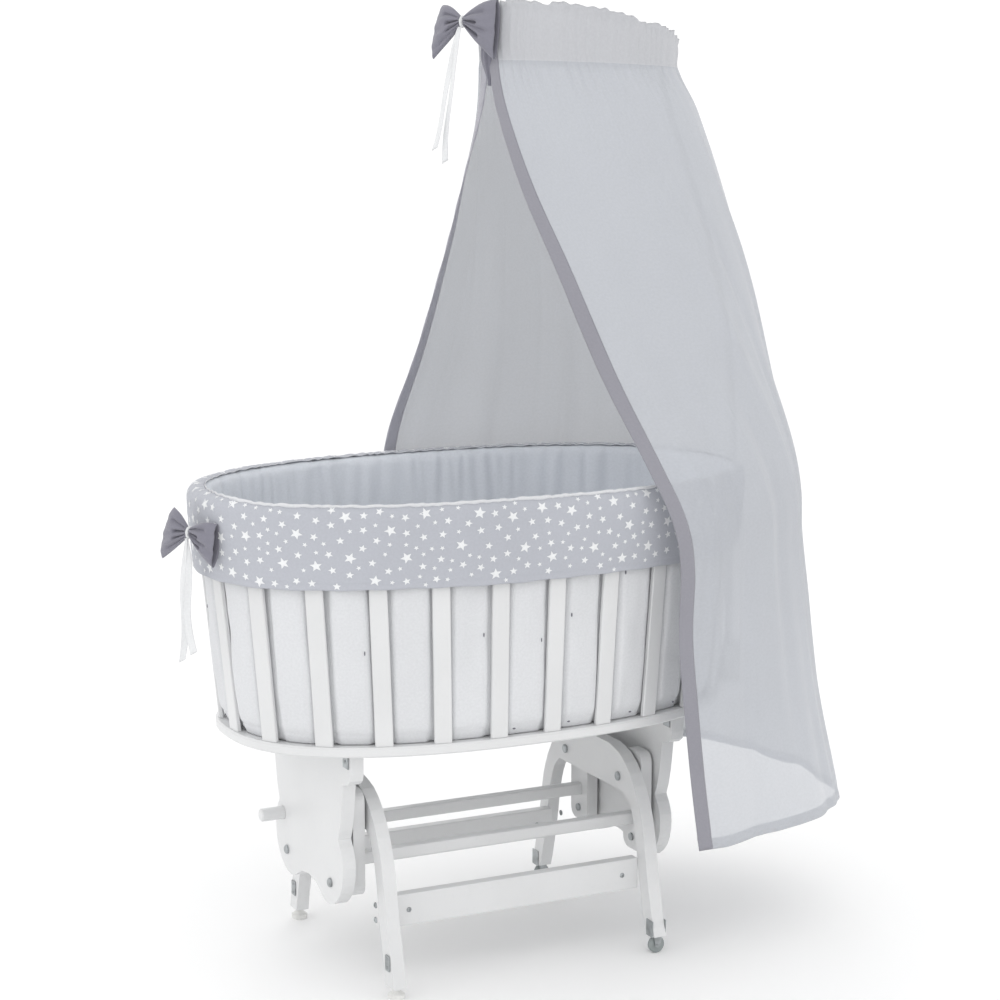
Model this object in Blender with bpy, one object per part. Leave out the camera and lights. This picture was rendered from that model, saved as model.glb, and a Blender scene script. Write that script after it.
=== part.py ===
"""Swinging oval baby crib with a fabric canopy.

Two arch frames stand on the floor. Four links hang from their tops and carry two
scalloped hanger panels, so the whole basket glides level from side to side.
Metres, +Z up, +X towards the canopy end, -Y towards the open front side.
"""
import bpy
import bmesh
import math
from mathutils import Vector

# ---------------------------------------------------------------- dimensions
SHIFT_X = 0.06637         # the stand's centre lies this far towards -X of the origin
GAP = 0.0003              # space left between pieces that touch

# stand
ARCH_X = 0.2335           # centre plane of each arch frame
BOARD = 0.022             # thickness of the arch frames and hanger panels
FOOT_Y = 0.208            # centre of each foot
ARCH_TOP = 0.322
OPENING_TOP = 0.250
GLIDE_LEG_Z = 0.0185      # leg ends above the two glides
WHEEL_LEG_Z = 0.0310      # leg ends above the two wheels
RAIL_Y = 0.1553
RAIL_THICK = 0.020
RAIL_Z0 = 0.099
RAIL_Z1 = 0.151
GLIDE_R = 0.0135
WHEEL_R = 0.0140
WHEEL_W = 0.0090
AXLE_R = 0.0020

# swing
PIVOT_Y = 0.0948
UPPER_Z = 0.2727
LOWER_Z = 0.1639
LINK_X0 = 0.2495
LINK_X1 = 0.2695
LINK_HALF = 0.030
LINK_Z0 = 0.1425
LINK_Z1 = 0.3150
ROD_Z = 0.1985
ROD_HALF = 0.0100
BOLT_R = 0.0040
HOLE_R = 0.0044
OPEN_HOLE_R = 0.0052      # the rear lower pivots, where the linkage is left open

# hanger panels
HANGER_X0 = 0.2745
HANGER_X1 = 0.2965
HANGER_TOP = 0.3944
PEG_Y = 0.1124
PEG_Z = 0.2225
PEG_R = 0.0110
PEG_OUT = 0.0400

# basket
PLATE_A, PLATE_B, PLATE_N = 0.434, 0.2545, 2.4
PLATE_Z0, PLATE_Z1 = 0.3947, 0.4107
FLOOR_A, FLOOR_B = 0.4285, 0.2490     # outer face of the slats at the plate
RIM_A, RIM_B, RIM_N = 0.4640, 0.2700, 2.3   # outer face of the slats at the rim
RIM_Z0, RIM_Z1 = 0.7620, 0.7800
SLAT_COUNT = 24
SLAT_W = 0.028
SLAT_TURN = 0.22          # the first slat stands this share of a space round from +X
SLAT_T = 0.008
BAND_Z0 = 0.660
BAND_TOP = 0.790
MATTRESS_Z1 = 0.462

# canopy
LOOP_X, LOOP_A, LOOP_B = 0.1900, 0.1520, 0.1390
LOOP_Z_FRONT, LOOP_Z_BACK = 1.4680, 1.4560
TUBE_R = 0.0060
POLE_X = 0.4925
DRAPE_T = 0.0030
HEM_Z = 0.2000
REAR_HEM_Z = 0.2620


# ---------------------------------------------------------------- materials
def material(name, colour, rough, metal=0.0, alpha=1.0):
    """A plain Principled surface."""
    mat = bpy.data.materials.new(name)
    mat.use_nodes = True
    node = mat.node_tree.nodes["Principled BSDF"]
    node.inputs["Base Color"].default_value = (*colour, 1.0)
    node.inputs["Roughness"].default_value = rough
    node.inputs["Metallic"].default_value = metal
    node.inputs["Alpha"].default_value = alpha
    return mat


for old in list(bpy.data.objects):
    bpy.data.objects.remove(old, do_unlink=True)

PAINT = material("white_paint", (0.80, 0.80, 0.79), 0.42)
STEEL = material("zinc_steel", (0.45, 0.46, 0.46), 0.35, 1.0)
PLASTIC = material("white_plastic", (0.78, 0.78, 0.76), 0.45)
RUBBER = material("grey_wheel", (0.42, 0.44, 0.44), 0.55)
STAR = material("star_fabric", (0.50, 0.50, 0.55), 0.9)
WHITE_CLOTH = material("white_cloth", (0.78, 0.80, 0.84), 0.9)
GREY_CLOTH = material("grey_cloth", (0.30, 0.30, 0.36), 0.9)
SHEER = material("sheer_cloth", (0.62, 0.65, 0.70), 0.9, 0.0, 0.7)


# ---------------------------------------------------------------- builders
def add(name, bm, mat, origin=(0.0, 0.0, 0.0), smooth=True):
    """Turn a bmesh drawn in the crib's own space into one named object."""
    bmesh.ops.recalc_face_normals(bm, faces=bm.faces[:])
    start = Vector(origin)
    bmesh.ops.translate(bm, vec=-start, verts=bm.verts[:])
    mesh = bpy.data.meshes.new(name)
    bm.to_mesh(mesh)
    bm.free()
    if smooth:
        mesh.shade_smooth()
        mesh.set_sharp_from_angle(angle=math.radians(35))
    mesh.materials.append(mat)
    obj = bpy.data.objects.new(name, mesh)
    obj.location = start - Vector((SHIFT_X, 0.0, 0.0))
    bpy.context.scene.collection.objects.link(obj)
    return obj


def circle(cu, cv, radius, steps=20):
    """Points of a circle in a plane."""
    turn = 2.0 * math.pi / steps
    return [(cu + radius * math.cos(turn * k), cv + radius * math.sin(turn * k)) for k in range(steps)]


def spline(points, steps=4):
    """A smooth open curve through the points (Catmull-Rom)."""
    out = []
    last = len(points) - 1
    for i in range(last):
        p0 = Vector(points[max(i - 1, 0)])
        p1 = Vector(points[i])
        p2 = Vector(points[i + 1])
        p3 = Vector(points[min(i + 2, last)])
        for k in range(steps):
            t = k / steps
            a = (p2 - p0) * 0.5
            b = (p3 - p1) * 0.5
            h1 = 2 * t ** 3 - 3 * t ** 2 + 1
            h2 = t ** 3 - 2 * t ** 2 + t
            h3 = -2 * t ** 3 + 3 * t ** 2
            h4 = t ** 3 - t ** 2
            out.append(p1 * h1 + a * h2 + p2 * h3 + b * h4)
    out.append(Vector(points[last]))
    return out


def board(name, loops, axis, low, high, mat, origin=(0.0, 0.0, 0.0), round_edge=0.0):
    """Cut a board from its outline; later loops are holes. axis is the board's normal."""
    bm = bmesh.new()

    def place(u, v):
        if axis == "X":
            return (low, u, v)
        if axis == "Y":
            return (u, low, v)
        return (u, v, low)

    for loop in loops:
        verts = [bm.verts.new(place(p[0], p[1])) for p in loop]
        for i, vert in enumerate(verts):
            bm.edges.new((vert, verts[(i + 1) % len(verts)]))
    bmesh.ops.triangle_fill(bm, use_beauty=True, use_dissolve=False, edges=bm.edges[:])
    grown = bmesh.ops.extrude_face_region(bm, geom=bm.faces[:])
    step = {"X": (high - low, 0, 0), "Y": (0, high - low, 0), "Z": (0, 0, high - low)}[axis]
    moved = [item for item in grown["geom"] if isinstance(item, bmesh.types.BMVert)]
    bmesh.ops.translate(bm, vec=Vector(step), verts=moved)
    obj = add(name, bm, mat, origin)
    if round_edge > 0.0:
        bevel = obj.modifiers.new("round_edge", "BEVEL")
        bevel.width = round_edge
        bevel.segments = 2
        bevel.limit_method = "ANGLE"
        bevel.angle_limit = math.radians(50)
    return obj


def turned(name, start, direction, profile, mat, steps=20, origin=None):
    """A solid turned about an axis. profile lists (distance along, radius)."""
    bm = bmesh.new()
    way = Vector(direction).normalized()
    side = way.orthogonal().normalized()
    other = way.cross(side)
    base = Vector(start)
    rings = []
    for along, radius in profile:
        ring = []
        for k in range(steps):
            t = 2.0 * math.pi * k / steps
            ring.append(bm.verts.new(base + way * along + side * radius * math.cos(t) + other * radius * math.sin(t)))
        rings.append(ring)
    for lower, upper in zip(rings, rings[1:]):
        for k in range(steps):
            n = (k + 1) % steps
            bm.faces.new((lower[k], lower[n], upper[n], upper[k]))
    bm.faces.new(rings[0][::-1])
    bm.faces.new(rings[-1])
    return add(name, bm, mat, start if origin is None else origin)


def turned_ring(name, start, direction, profile, mat, steps=24):
    """A ring turned about an axis: the profile is a closed loop clear of the axis."""
    bm = bmesh.new()
    way = Vector(direction).normalized()
    side = way.orthogonal().normalized()
    other = way.cross(side)
    base = Vector(start)
    rings = []
    for along, radius in profile:
        ring = []
        for k in range(steps):
            t = 2.0 * math.pi * k / steps
            ring.append(bm.verts.new(base + way * along + side * radius * math.cos(t) + other * radius * math.sin(t)))
        rings.append(ring)
    for i, lower in enumerate(rings):
        upper = rings[(i + 1) % len(rings)]
        for k in range(steps):
            n = (k + 1) % steps
            bm.faces.new((lower[k], lower[n], upper[n], upper[k]))
    return add(name, bm, mat, start)


def oval(a, b, n, t):
    """A point of a rounded oval, t in radians."""
    c, s = math.cos(t), math.sin(t)
    x = a * math.copysign(abs(c) ** (2.0 / n), c)
    y = b * math.copysign(abs(s) ** (2.0 / n), s)
    return x, y


def even_oval(a, b, n, count, fine=1440, start=0.0):
    """Points of an oval at equal spacing along its edge, the first at a share of a space from +X."""
    pts = [oval(a, b, n, 2.0 * math.pi * k / fine) for k in range(fine + 1)]
    run = [0.0]
    for p, q in zip(pts, pts[1:]):
        run.append(run[-1] + math.dist(p, q))
    out = []
    j = 0
    for k in range(count):
        want = run[-1] * (k + start) / count
        while run[j + 1] < want:
            j += 1
        f = (want - run[j]) / (run[j + 1] - run[j])
        out.append((pts[j][0] + (pts[j + 1][0] - pts[j][0]) * f, pts[j][1] + (pts[j + 1][1] - pts[j][1]) * f))
    return out


def oval_solid(name, levels, mat, closed_ring=False, count=72, origin=(0.0, 0.0, 0.0)):
    """Loft ovals (a, b, n, z); a closed ring comes back to its first level."""
    bm = bmesh.new()
    rings = []
    for a, b, n, z in levels:
        rings.append([bm.verts.new((x, y, z)) for x, y in even_oval(a, b, n, count)])
    pairs = list(zip(rings, rings[1:]))
    if closed_ring:
        pairs.append((rings[-1], rings[0]))
    for lower, upper in pairs:
        for k in range(count):
            n = (k + 1) % count
            bm.faces.new((lower[k], lower[n], upper[n], upper[k]))
    if not closed_ring:
        bm.faces.new(rings[0][::-1])
        bm.faces.new(rings[-1])
    return add(name, bm, mat, origin)


def tube(name, path, radius, mat, steps=10, origin=(0.0, 0.0, 0.0)):
    """A round tube along a path, with flat ends."""
    bm = bmesh.new()
    side = None
    rings = []
    last = len(path) - 1
    for i, point in enumerate(path):
        way = (path[min(i + 1, last)] - path[max(i - 1, 0)]).normalized()
        if side is None:
            side = way.orthogonal().normalized()
        side = (side - way * side.dot(way)).normalized()
        other = way.cross(side)
        ring = []
        for k in range(steps):
            t = 2.0 * math.pi * k / steps
            ring.append(bm.verts.new(point + (side * math.cos(t) + other * math.sin(t)) * radius))
        rings.append(ring)
    for lower, upper in zip(rings, rings[1:]):
        for k in range(steps):
            n = (k + 1) % steps
            bm.faces.new((lower[k], lower[n], upper[n], upper[k]))
    bm.faces.new(rings[0][::-1])
    bm.faces.new(rings[-1])
    return add(name, bm, mat, origin)


def mirror_y(points):
    """The other half of an outline that starts and ends on y = 0."""
    return [(-y, z) for y, z in reversed(points)]


# ---------------------------------------------------------------- arch frames
def arch_outline(leg_z):
    """Half outer edge, then half inner edge, of an arch frame, mirrored to a loop."""
    outer = [(0.060, ARCH_TOP), (0.100, 0.312), (0.135, 0.286), (0.162, 0.248), (0.179, 0.207)]
    outer += [(0.188, 0.165), (0.196, 0.125), (0.206, 0.085), (0.217, 0.045), (0.2235, leg_z)]
    inner = [(0.1925, leg_z), (0.187, 0.045), (0.176, 0.085), (0.1665, 0.125), (0.159, 0.165)]
    inner += [(0.150, 0.203), (0.137, 0.232), (0.118, OPENING_TOP)]
    half = [(p.x, p.y) for p in spline([Vector((y, z, 0)) for y, z in outer], 2)]
    half += [(p.x, p.y) for p in spline([Vector((y, z, 0)) for y, z in inner], 2)]
    return half + mirror_y(half)


def arch(name, side, leg_z):
    low = side * ARCH_X - BOARD / 2
    loops = [arch_outline(leg_z)]
    for y in (-PIVOT_Y, PIVOT_Y):
        loops.append(circle(y, UPPER_Z, HOLE_R, 12))
    return board(name, loops, "X", low, low + BOARD, PAINT, (side * ARCH_X, 0, 0))


arch("arch_frame_left", -1, GLIDE_LEG_Z)
arch("arch_frame_right", 1, WHEEL_LEG_Z)

# low rails between the arch frames
RAIL_END = ARCH_X - BOARD / 2 - GAP


def box(name, x0, x1, y0, y1, z0, z1, mat, round_edge=0.0, origin=None):
    loop = [(y0, z0), (y1, z0), (y1, z1), (y0, z1)]
    where = origin if origin is not None else ((x0 + x1) / 2, (y0 + y1) / 2, (z0 + z1) / 2)
    return board(name, [loop], "X", x0, x1, mat, where, round_edge)


for name, side in (("low_rail_front", -1), ("low_rail_rear", 1)):
    mid = side * RAIL_Y
    box(name, -RAIL_END, RAIL_END, mid - RAIL_THICK / 2, mid + RAIL_THICK / 2, RAIL_Z0, RAIL_Z1, PAINT, 0.002)

# two screw-in glides at the left end
for name, side in (("glide_front", -1), ("glide_rear", 1)):
    profile = [(0.0, 0.0125), (0.0020, GLIDE_R), (0.0075, GLIDE_R), (0.0105, 0.0085), (0.0140, 0.0060)]
    profile += [(GLIDE_LEG_Z - GAP, 0.0060)]
    turned(name, (-ARCH_X, side * FOOT_Y, 0.0), (0, 0, 1), profile, PLASTIC)

# two fixed castors at the right end: a steel bracket with its axle, and a wheel
def castor_bracket(name, side):
    """A folded bracket: straps up both faces of the leg, two ears and an axle below."""
    y = side * FOOT_Y
    half = BOARD / 2 + GAP
    plate = 0.0015
    ear_y = WHEEL_W / 2 + 0.0010
    z0 = WHEEL_LEG_Z - GAP - plate
    z1 = WHEEL_LEG_Z - GAP
    outline = [(-half - plate, z0), (half + plate, z0), (half + plate, z1 + 0.026), (half, z1 + 0.026)]
    outline += [(half, z1), (-half, z1), (-half, z1 + 0.026), (-half - plate, z1 + 0.026)]
    shifted = [(ARCH_X + u, v) for u, v in outline]
    body = board(name, [shifted], "Y", y - 0.0105, y + 0.0105, STEEL, (ARCH_X, y, WHEEL_R))
    for k, way in enumerate((-1, 1)):
        ear = [(ARCH_X - 0.0075, z1 - 0.0005), (ARCH_X - 0.0050, 0.0125), (ARCH_X, 0.0095)]
        ear += [(ARCH_X + 0.0050, 0.0125), (ARCH_X + 0.0075, z1 - 0.0005)]
        low = y + way * (ear_y + plate / 2) - plate / 2
        part = board(name + "_ear" + str(k), [ear], "Y", low, low + plate, STEEL, (ARCH_X, y, WHEEL_R))
        guide(part)
        union(body, part)
    reach = ear_y + plate + 0.0010
    pin = turned(name + "_pin", (ARCH_X, y - reach, WHEEL_R), (0, 1, 0), [(0, AXLE_R), (2 * reach, AXLE_R)], STEEL, 12)
    guide(pin)
    union(body, pin)
    return body


def guide(obj):
    """A helper shape that a Boolean uses; it isn't a piece of the crib."""
    obj.hide_render = True
    obj.display_type = "WIRE"


def union(body, other):
    mod = body.modifiers.new("join_" + other.name, "BOOLEAN")
    mod.operation = "UNION"
    mod.solver = "EXACT"
    mod.object = other


def cut(body, other):
    mod = body.modifiers.new("cut_" + other.name, "BOOLEAN")
    mod.operation = "DIFFERENCE"
    mod.solver = "EXACT"
    mod.object = other


for name, side in (("castor_bracket_front", -1), ("castor_bracket_rear", 1)):
    castor_bracket(name, side)
for name, side in (("castor_wheel_front", -1), ("castor_wheel_rear", 1)):
    half = WHEEL_W / 2
    bore = AXLE_R + 0.0006
    profile = [(-half, bore), (-half, WHEEL_R - 0.0015), (-half + 0.0015, WHEEL_R), (half - 0.0015, WHEEL_R)]
    profile += [(half, WHEEL_R - 0.0015), (half, bore)]
    turned_ring(name, (ARCH_X, side * FOOT_Y, WHEEL_R), (0, 1, 0), profile, RUBBER)

# ---------------------------------------------------------------- swing links
ROD_END = LINK_X0 - GAP


def rounded_box(u0, u1, v0, v1, radius, steps=5):
    """Outline of a rectangle with round corners."""
    out = []
    corners = ((u1 - radius, v1 - radius, 0), (u0 + radius, v1 - radius, 90))
    corners += ((u0 + radius, v0 + radius, 180), (u1 - radius, v0 + radius, 270))
    for cu, cv, start in corners:
        for k in range(steps + 1):
            t = math.radians(start + 90.0 * k / steps)
            out.append((cu + radius * math.cos(t), cv + radius * math.sin(t)))
    return out


for tag, side in (("left", -1), ("right", 1)):
    low = LINK_X0 if side > 0 else -LINK_X1
    high = LINK_X1 if side > 0 else -LINK_X0
    for place, way in (("front", -1), ("rear", 1)):
        y = way * PIVOT_Y
        loops = [rounded_box(y - LINK_HALF, y + LINK_HALF, LINK_Z0, LINK_Z1, 0.018)]
        loops.append(circle(y, UPPER_Z, HOLE_R, 12))
        loops.append(circle(y, LOWER_Z, HOLE_R if way < 0 else OPEN_HOLE_R, 12))
        board("swing_link_" + tag + "_" + place, loops, "X", low, high, PAINT, (side * LINK_X0, y, UPPER_Z))

for name, way in (("swing_rod_front", -1), ("swing_rod_rear", 1)):
    y = way * PIVOT_Y
    loop = rounded_box(y - ROD_HALF, y + ROD_HALF, ROD_Z - ROD_HALF, ROD_Z + ROD_HALF, 0.003, 2)
    board(name, [loop], "X", -ROD_END, ROD_END, PAINT, (0, y, UPPER_Z))


# ---------------------------------------------------------------- hanger panels
def hanger_outline():
    half = [(0.0, 0.150), (0.030, 0.146), (0.055, 0.133), (0.078, 0.1255), (0.108, 0.132), (0.134, 0.155)]
    half += [(0.1455, 0.185), (0.1450, 0.212), (0.136, 0.232), (0.1285, 0.243), (0.1345, 0.258)]
    half += [(0.1415, 0.285), (0.1465, 0.315), (0.1500, 0.338)]
    smooth = [(p.x, p.y) for p in spline([Vector((y, z, 0)) for y, z in half], 2)]
    block = [(0.168, 0.342), (0.179, 0.350), (0.182, 0.362), (0.182, HANGER_TOP)]
    side = smooth + block
    return side + [(-y, z) for y, z in reversed(side[1:])]


for tag, side in (("left", -1), ("right", 1)):
    low = HANGER_X0 if side > 0 else -HANGER_X1
    loops = [hanger_outline(), circle(-PIVOT_Y, LOWER_Z, HOLE_R, 12), circle(PIVOT_Y, LOWER_Z, HOLE_R, 12)]
    if side < 0:
        loops.append(circle(PEG_Y, PEG_Z, PEG_R + 0.0004, 20))
    board("hanger_panel_" + tag, loops, "X", low, low + BOARD, PAINT, (side * HANGER_X0, 0, HANGER_TOP))

peg = [(0.0, PEG_R - 0.0010), (0.0010, PEG_R), (BOARD + PEG_OUT - 0.0020, PEG_R), (BOARD + PEG_OUT, PEG_R - 0.0020)]
turned("lock_peg", (-HANGER_X0 - GAP, PEG_Y, PEG_Z), (-1, 0, 0), peg, PAINT)

# pivot bolts: upper ones join arch and link, lower ones join link and hanger
for tag, side in (("left", -1), ("right", 1)):
    for place, way in (("front", -1), ("rear", 1)):
        y = way * PIVOT_Y
        head = ARCH_X - BOARD / 2
        run = LINK_X1 - head
        upper = [(-0.0040, 0.0055), (-0.0030, 0.0075), (-GAP, 0.0075), (-GAP, BOLT_R), (run + GAP, BOLT_R)]
        upper += [(run + GAP, 0.0065), (run + 0.0035, 0.0065)]
        turned("upper_pivot_bolt_" + tag + "_" + place, (side * head, y, UPPER_Z), (side, 0, 0), upper, STEEL, 16)
        tip = LINK_X0
        reach = HANGER_X1 - tip
        lower = [(-0.0035, 0.0065), (-GAP, 0.0065), (-GAP, BOLT_R), (reach + GAP, BOLT_R), (reach + GAP, 0.0075)]
        lower += [(reach + 0.0030, 0.0075), (reach + 0.0045, 0.0055)]
        turned("lower_pivot_bolt_" + tag + "_" + place, (side * tip, y, LOWER_Z), (side, 0, 0), lower, STEEL, 16)

# ---------------------------------------------------------------- basket
plate = [(PLATE_A - 0.003, PLATE_B - 0.003, PLATE_N, PLATE_Z0), (PLATE_A, PLATE_B, PLATE_N, PLATE_Z0 + 0.003)]
plate += [(PLATE_A, PLATE_B, PLATE_N, PLATE_Z1 - 0.003), (PLATE_A - 0.003, PLATE_B - 0.003, PLATE_N, PLATE_Z1)]
oval_solid("base_plate", plate, PAINT, origin=(0, 0, PLATE_Z0))

SLAT_Z0 = PLATE_Z1 + GAP
SLAT_Z1 = RIM_Z0 - GAP
feet = even_oval(FLOOR_A - SLAT_T / 2, FLOOR_B - SLAT_T / 2, PLATE_N, SLAT_COUNT, start=SLAT_TURN)
tops = even_oval(RIM_A - SLAT_T / 2, RIM_B - SLAT_T / 2, RIM_N, SLAT_COUNT, start=SLAT_TURN)


def slat(name, foot, top, tangent):
    """A flat bar that leans out from the plate to the rim."""
    bm = bmesh.new()
    along = Vector((tangent[0], tangent[1], 0.0)).normalized() * (SLAT_W / 2)
    out = Vector((tangent[1], -tangent[0], 0.0)).normalized() * (SLAT_T / 2)
    edge = 0.0015
    rings = []
    for point, z in ((foot, SLAT_Z0), (top, SLAT_Z1)):
        base = Vector((point[0], point[1], z))
        ring = []
        for sa, so in ((-1, -1), (1, -1), (1, 1), (-1, 1)):
            trim_a = along.normalized() * edge
            trim_o = out.normalized() * edge
            first = base + sa * (along - trim_a) + so * out
            second = base + sa * along + so * (out - trim_o)
            pair = (first, second) if sa * so < 0 else (second, first)
            ring += [bm.verts.new(p) for p in pair]
        rings.append(ring)
    for k in range(8):
        n = (k + 1) % 8
        bm.faces.new((rings[0][k], rings[0][n], rings[1][n], rings[1][k]))
    bm.faces.new(rings[0][::-1])
    bm.faces.new(rings[1])
    return add(name, bm, PAINT, (foot[0], foot[1], SLAT_Z0))


for k in range(SLAT_COUNT):
    ahead = tops[(k + 1) % SLAT_COUNT]
    behind = tops[k - 1]
    slat("slat_%02d" % (k + 1), feet[k], tops[k], (ahead[0] - behind[0], ahead[1] - behind[1]))

rim = [(RIM_A - 0.001, RIM_B - 0.001, RIM_N, RIM_Z0), (RIM_A, RIM_B, RIM_N, RIM_Z0 + 0.001)]
rim += [(RIM_A, RIM_B, RIM_N, RIM_Z1 - 0.003), (RIM_A - 0.003, RIM_B - 0.003, RIM_N, RIM_Z1)]
rim += [(RIM_A - 0.015, RIM_B - 0.015, RIM_N, RIM_Z1), (RIM_A - 0.018, RIM_B - 0.018, RIM_N, RIM_Z1 - 0.003)]
rim += [(RIM_A - 0.018, RIM_B - 0.018, RIM_N, RIM_Z0)]
oval_solid("rim_ring", rim, PAINT, closed_ring=True, origin=(0, 0, RIM_Z0))

# one sewn piece: padded wall inside the slats, over the rim, star band outside
liner = [
    (0.4030, 0.2235, 2.40, 0.4125),
    (0.4130, 0.2335, 2.40, 0.4125),
    (0.4320, 0.2445, 2.35, 0.6200),
    (0.4440, 0.2500, 2.30, 0.7610),
    (0.4440, 0.2500, 2.30, 0.7815),
    (0.4650, 0.2710, 2.30, 0.7815),
    (0.4665, 0.2725, 2.30, 0.7610),
    (0.4610, 0.2680, 2.30, BAND_Z0),
    (0.4670, 0.2740, 2.30, BAND_Z0),
    (0.4730, 0.2790, 2.30, 0.7400),
    (0.4740, 0.2800, 2.30, 0.7790),
    (0.4690, 0.2750, 2.30, 0.7880),
    (0.4560, 0.2620, 2.30, BAND_TOP),
    (0.4410, 0.2470, 2.30, 0.7870),
    (0.4350, 0.2410, 2.30, 0.7780),
    (0.4230, 0.2350, 2.35, 0.6200),
]
oval_solid("bed_liner", liner, STAR, closed_ring=True, origin=(0, 0, BAND_Z0))

mattress = [(0.388, 0.2085, 2.4, PLATE_Z1 + GAP), (0.3995, 0.2200, 2.4, PLATE_Z1 + 0.012)]
mattress += [(0.3995, 0.2200, 2.4, MATTRESS_Z1 - 0.012), (0.386, 0.2065, 2.4, MATTRESS_Z1)]
oval_solid("mattress", mattress, WHITE_CLOTH, origin=(0, 0, PLATE_Z1))


# ---------------------------------------------------------------- canopy
def loop_point(t):
    """A point of the canopy hoop; it tilts down towards the pole."""
    x = LOOP_X + LOOP_A * math.cos(t)
    f = (math.cos(t) + 1.0) / 2.0
    return Vector((x, LOOP_B * math.sin(t), LOOP_Z_FRONT + (LOOP_Z_BACK - LOOP_Z_FRONT) * f))


pole = [Vector((POLE_X, 0, 0.3995)), Vector((POLE_X, 0, 0.60)), Vector((POLE_X, 0, 0.85)), Vector((0.474, 0, 1.02))]
pole += [Vector((0.432, 0, 1.18)), Vector((0.383, 0, 1.31)), Vector((0.350, 0, 1.40)), Vector((0.3415, 0.006, 1.448))]
stem = spline(pole, 4)
gap_angle = math.radians(5.0)
hoop = []
for k in range(49):
    angle = gap_angle + (2.0 * math.pi - 2.0 * gap_angle) * k / 48
    hoop.append(loop_point(angle))
tube("canopy_pole", stem[:-1] + hoop, TUBE_R, STEEL, 10, origin=(POLE_X, 0, 0.3995))

# the clamp: a foot screwed under the base plate, with an upright socket for the pole
foot = rounded_box(0.350, 0.5100, -0.020, 0.020, 0.008, 3)
clamp = board("canopy_clamp", [foot], "Z", PLATE_Z0 - GAP - 0.0080, PLATE_Z0 - GAP, STEEL, (POLE_X, 0, PLATE_Z0))
collar = rounded_box(0.4760, 0.5100, -0.016, 0.016, 0.008, 3)
socket = board("canopy_clamp_socket", [collar], "Z", PLATE_Z0 - 0.0040, 0.4550, STEEL, (POLE_X, 0, PLATE_Z0))
guide(socket)
union(clamp, socket)
drill = turned("canopy_clamp_drill", (POLE_X, 0, 0.3990), (0, 0, 1), [(0, TUBE_R + 0.0005), (0.08, TUBE_R + 0.0005)], STEEL, 16)
guide(drill)
cut(clamp, drill)

# drape: a thin closed shell, gathered on the hoop and open along the front
FRONT_EDGE = [(0.0285, -0.0045, 1.530), (0.0290, -0.0045, 1.450), (0.024, -0.040, 1.372), (0.042, -0.092, 1.250)]
FRONT_EDGE += [(0.075, -0.148, 1.125), (0.117, -0.218, 0.965), (0.166, -0.277, 0.830), (0.199, -0.306, 0.740)]
FRONT_EDGE += [(0.2135, -0.310, 0.660), (0.212, -0.310, 0.540), (0.233, -0.310, 0.350), (0.254, -0.310, HEM_Z)]
REAR_EDGE = [(0.0285, 0.0045, 1.530), (0.0290, 0.0045, 1.450), (0.036, 0.040, 1.372), (0.025, 0.092, 1.250)]
REAR_EDGE += [(0.016, 0.148, 1.125), (-0.002, 0.218, 0.965), (-0.030, 0.272, 0.830), (-0.038, 0.291, 0.740)]
REAR_EDGE += [(-0.034, 0.292, 0.660), (-0.024, 0.290, 0.540), (-0.008, 0.288, 0.370), (0.006, 0.286, REAR_HEM_Z)]
# centre x, half length, half width, squareness of the shell at each level
SECTION = [(0.190, 0.1630, 0.1500, 2.0), (0.190, 0.1630, 0.1500, 2.0), (0.195, 0.1930, 0.1750, 2.0)]
SECTION += [(0.200, 0.2350, 0.2000, 2.0), (0.205, 0.2650, 0.2280, 2.1), (0.210, 0.3020, 0.2600, 2.2)]
SECTION += [(0.212, 0.3330, 0.2840, 2.3), (0.213, 0.3480, 0.2980, 2.3), (0.214, 0.3530, 0.2990, 2.3)]
SECTION += [(0.215, 0.3720, 0.3000, 2.3), (0.215, 0.4120, 0.3010, 2.3), (0.215, 0.4500, 0.3020, 2.3)]
HEADER_DROP = 0.070       # the gathered header stands lower towards the pole
DRAPE_STEPS = 40


def drape_row(level):
    """Points of the shell at one level, from the front edge round to the rear edge."""
    cx, half, wide, n = SECTION[level]
    front = Vector(FRONT_EDGE[level])
    rear = Vector(REAR_EDGE[level])

    def angle_of(edge):
        return math.atan2(edge.y / wide, (edge.x - cx) / half)

    a0 = angle_of(front)
    a1 = angle_of(rear)
    row = []
    for k in range(DRAPE_STEPS + 1):
        f = k / DRAPE_STEPS
        turn = a0 + (a1 - a0) * f
        x, y = oval(half, wide, n, turn)
        back = (math.cos(turn) + 1.0) / 2.0
        drop = HEADER_DROP * back ** 1.6 if level == 0 else 0.0
        rise = min(max((f - 0.4) / 0.6, 0.0), 1.0)
        rise = rise * rise * (3.0 - 2.0 * rise)
        row.append(Vector((cx + x, y, front.z + (rear.z - front.z) * rise - drop)))
    first = front - row[0]
    last = rear - row[-1]
    for k, point in enumerate(row):
        f = k / DRAPE_STEPS
        point += first * max(0.0, 1.0 - f / 0.3) ** 2 + last * max(0.0, 1.0 - (1.0 - f) / 0.3) ** 2
    return row


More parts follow.
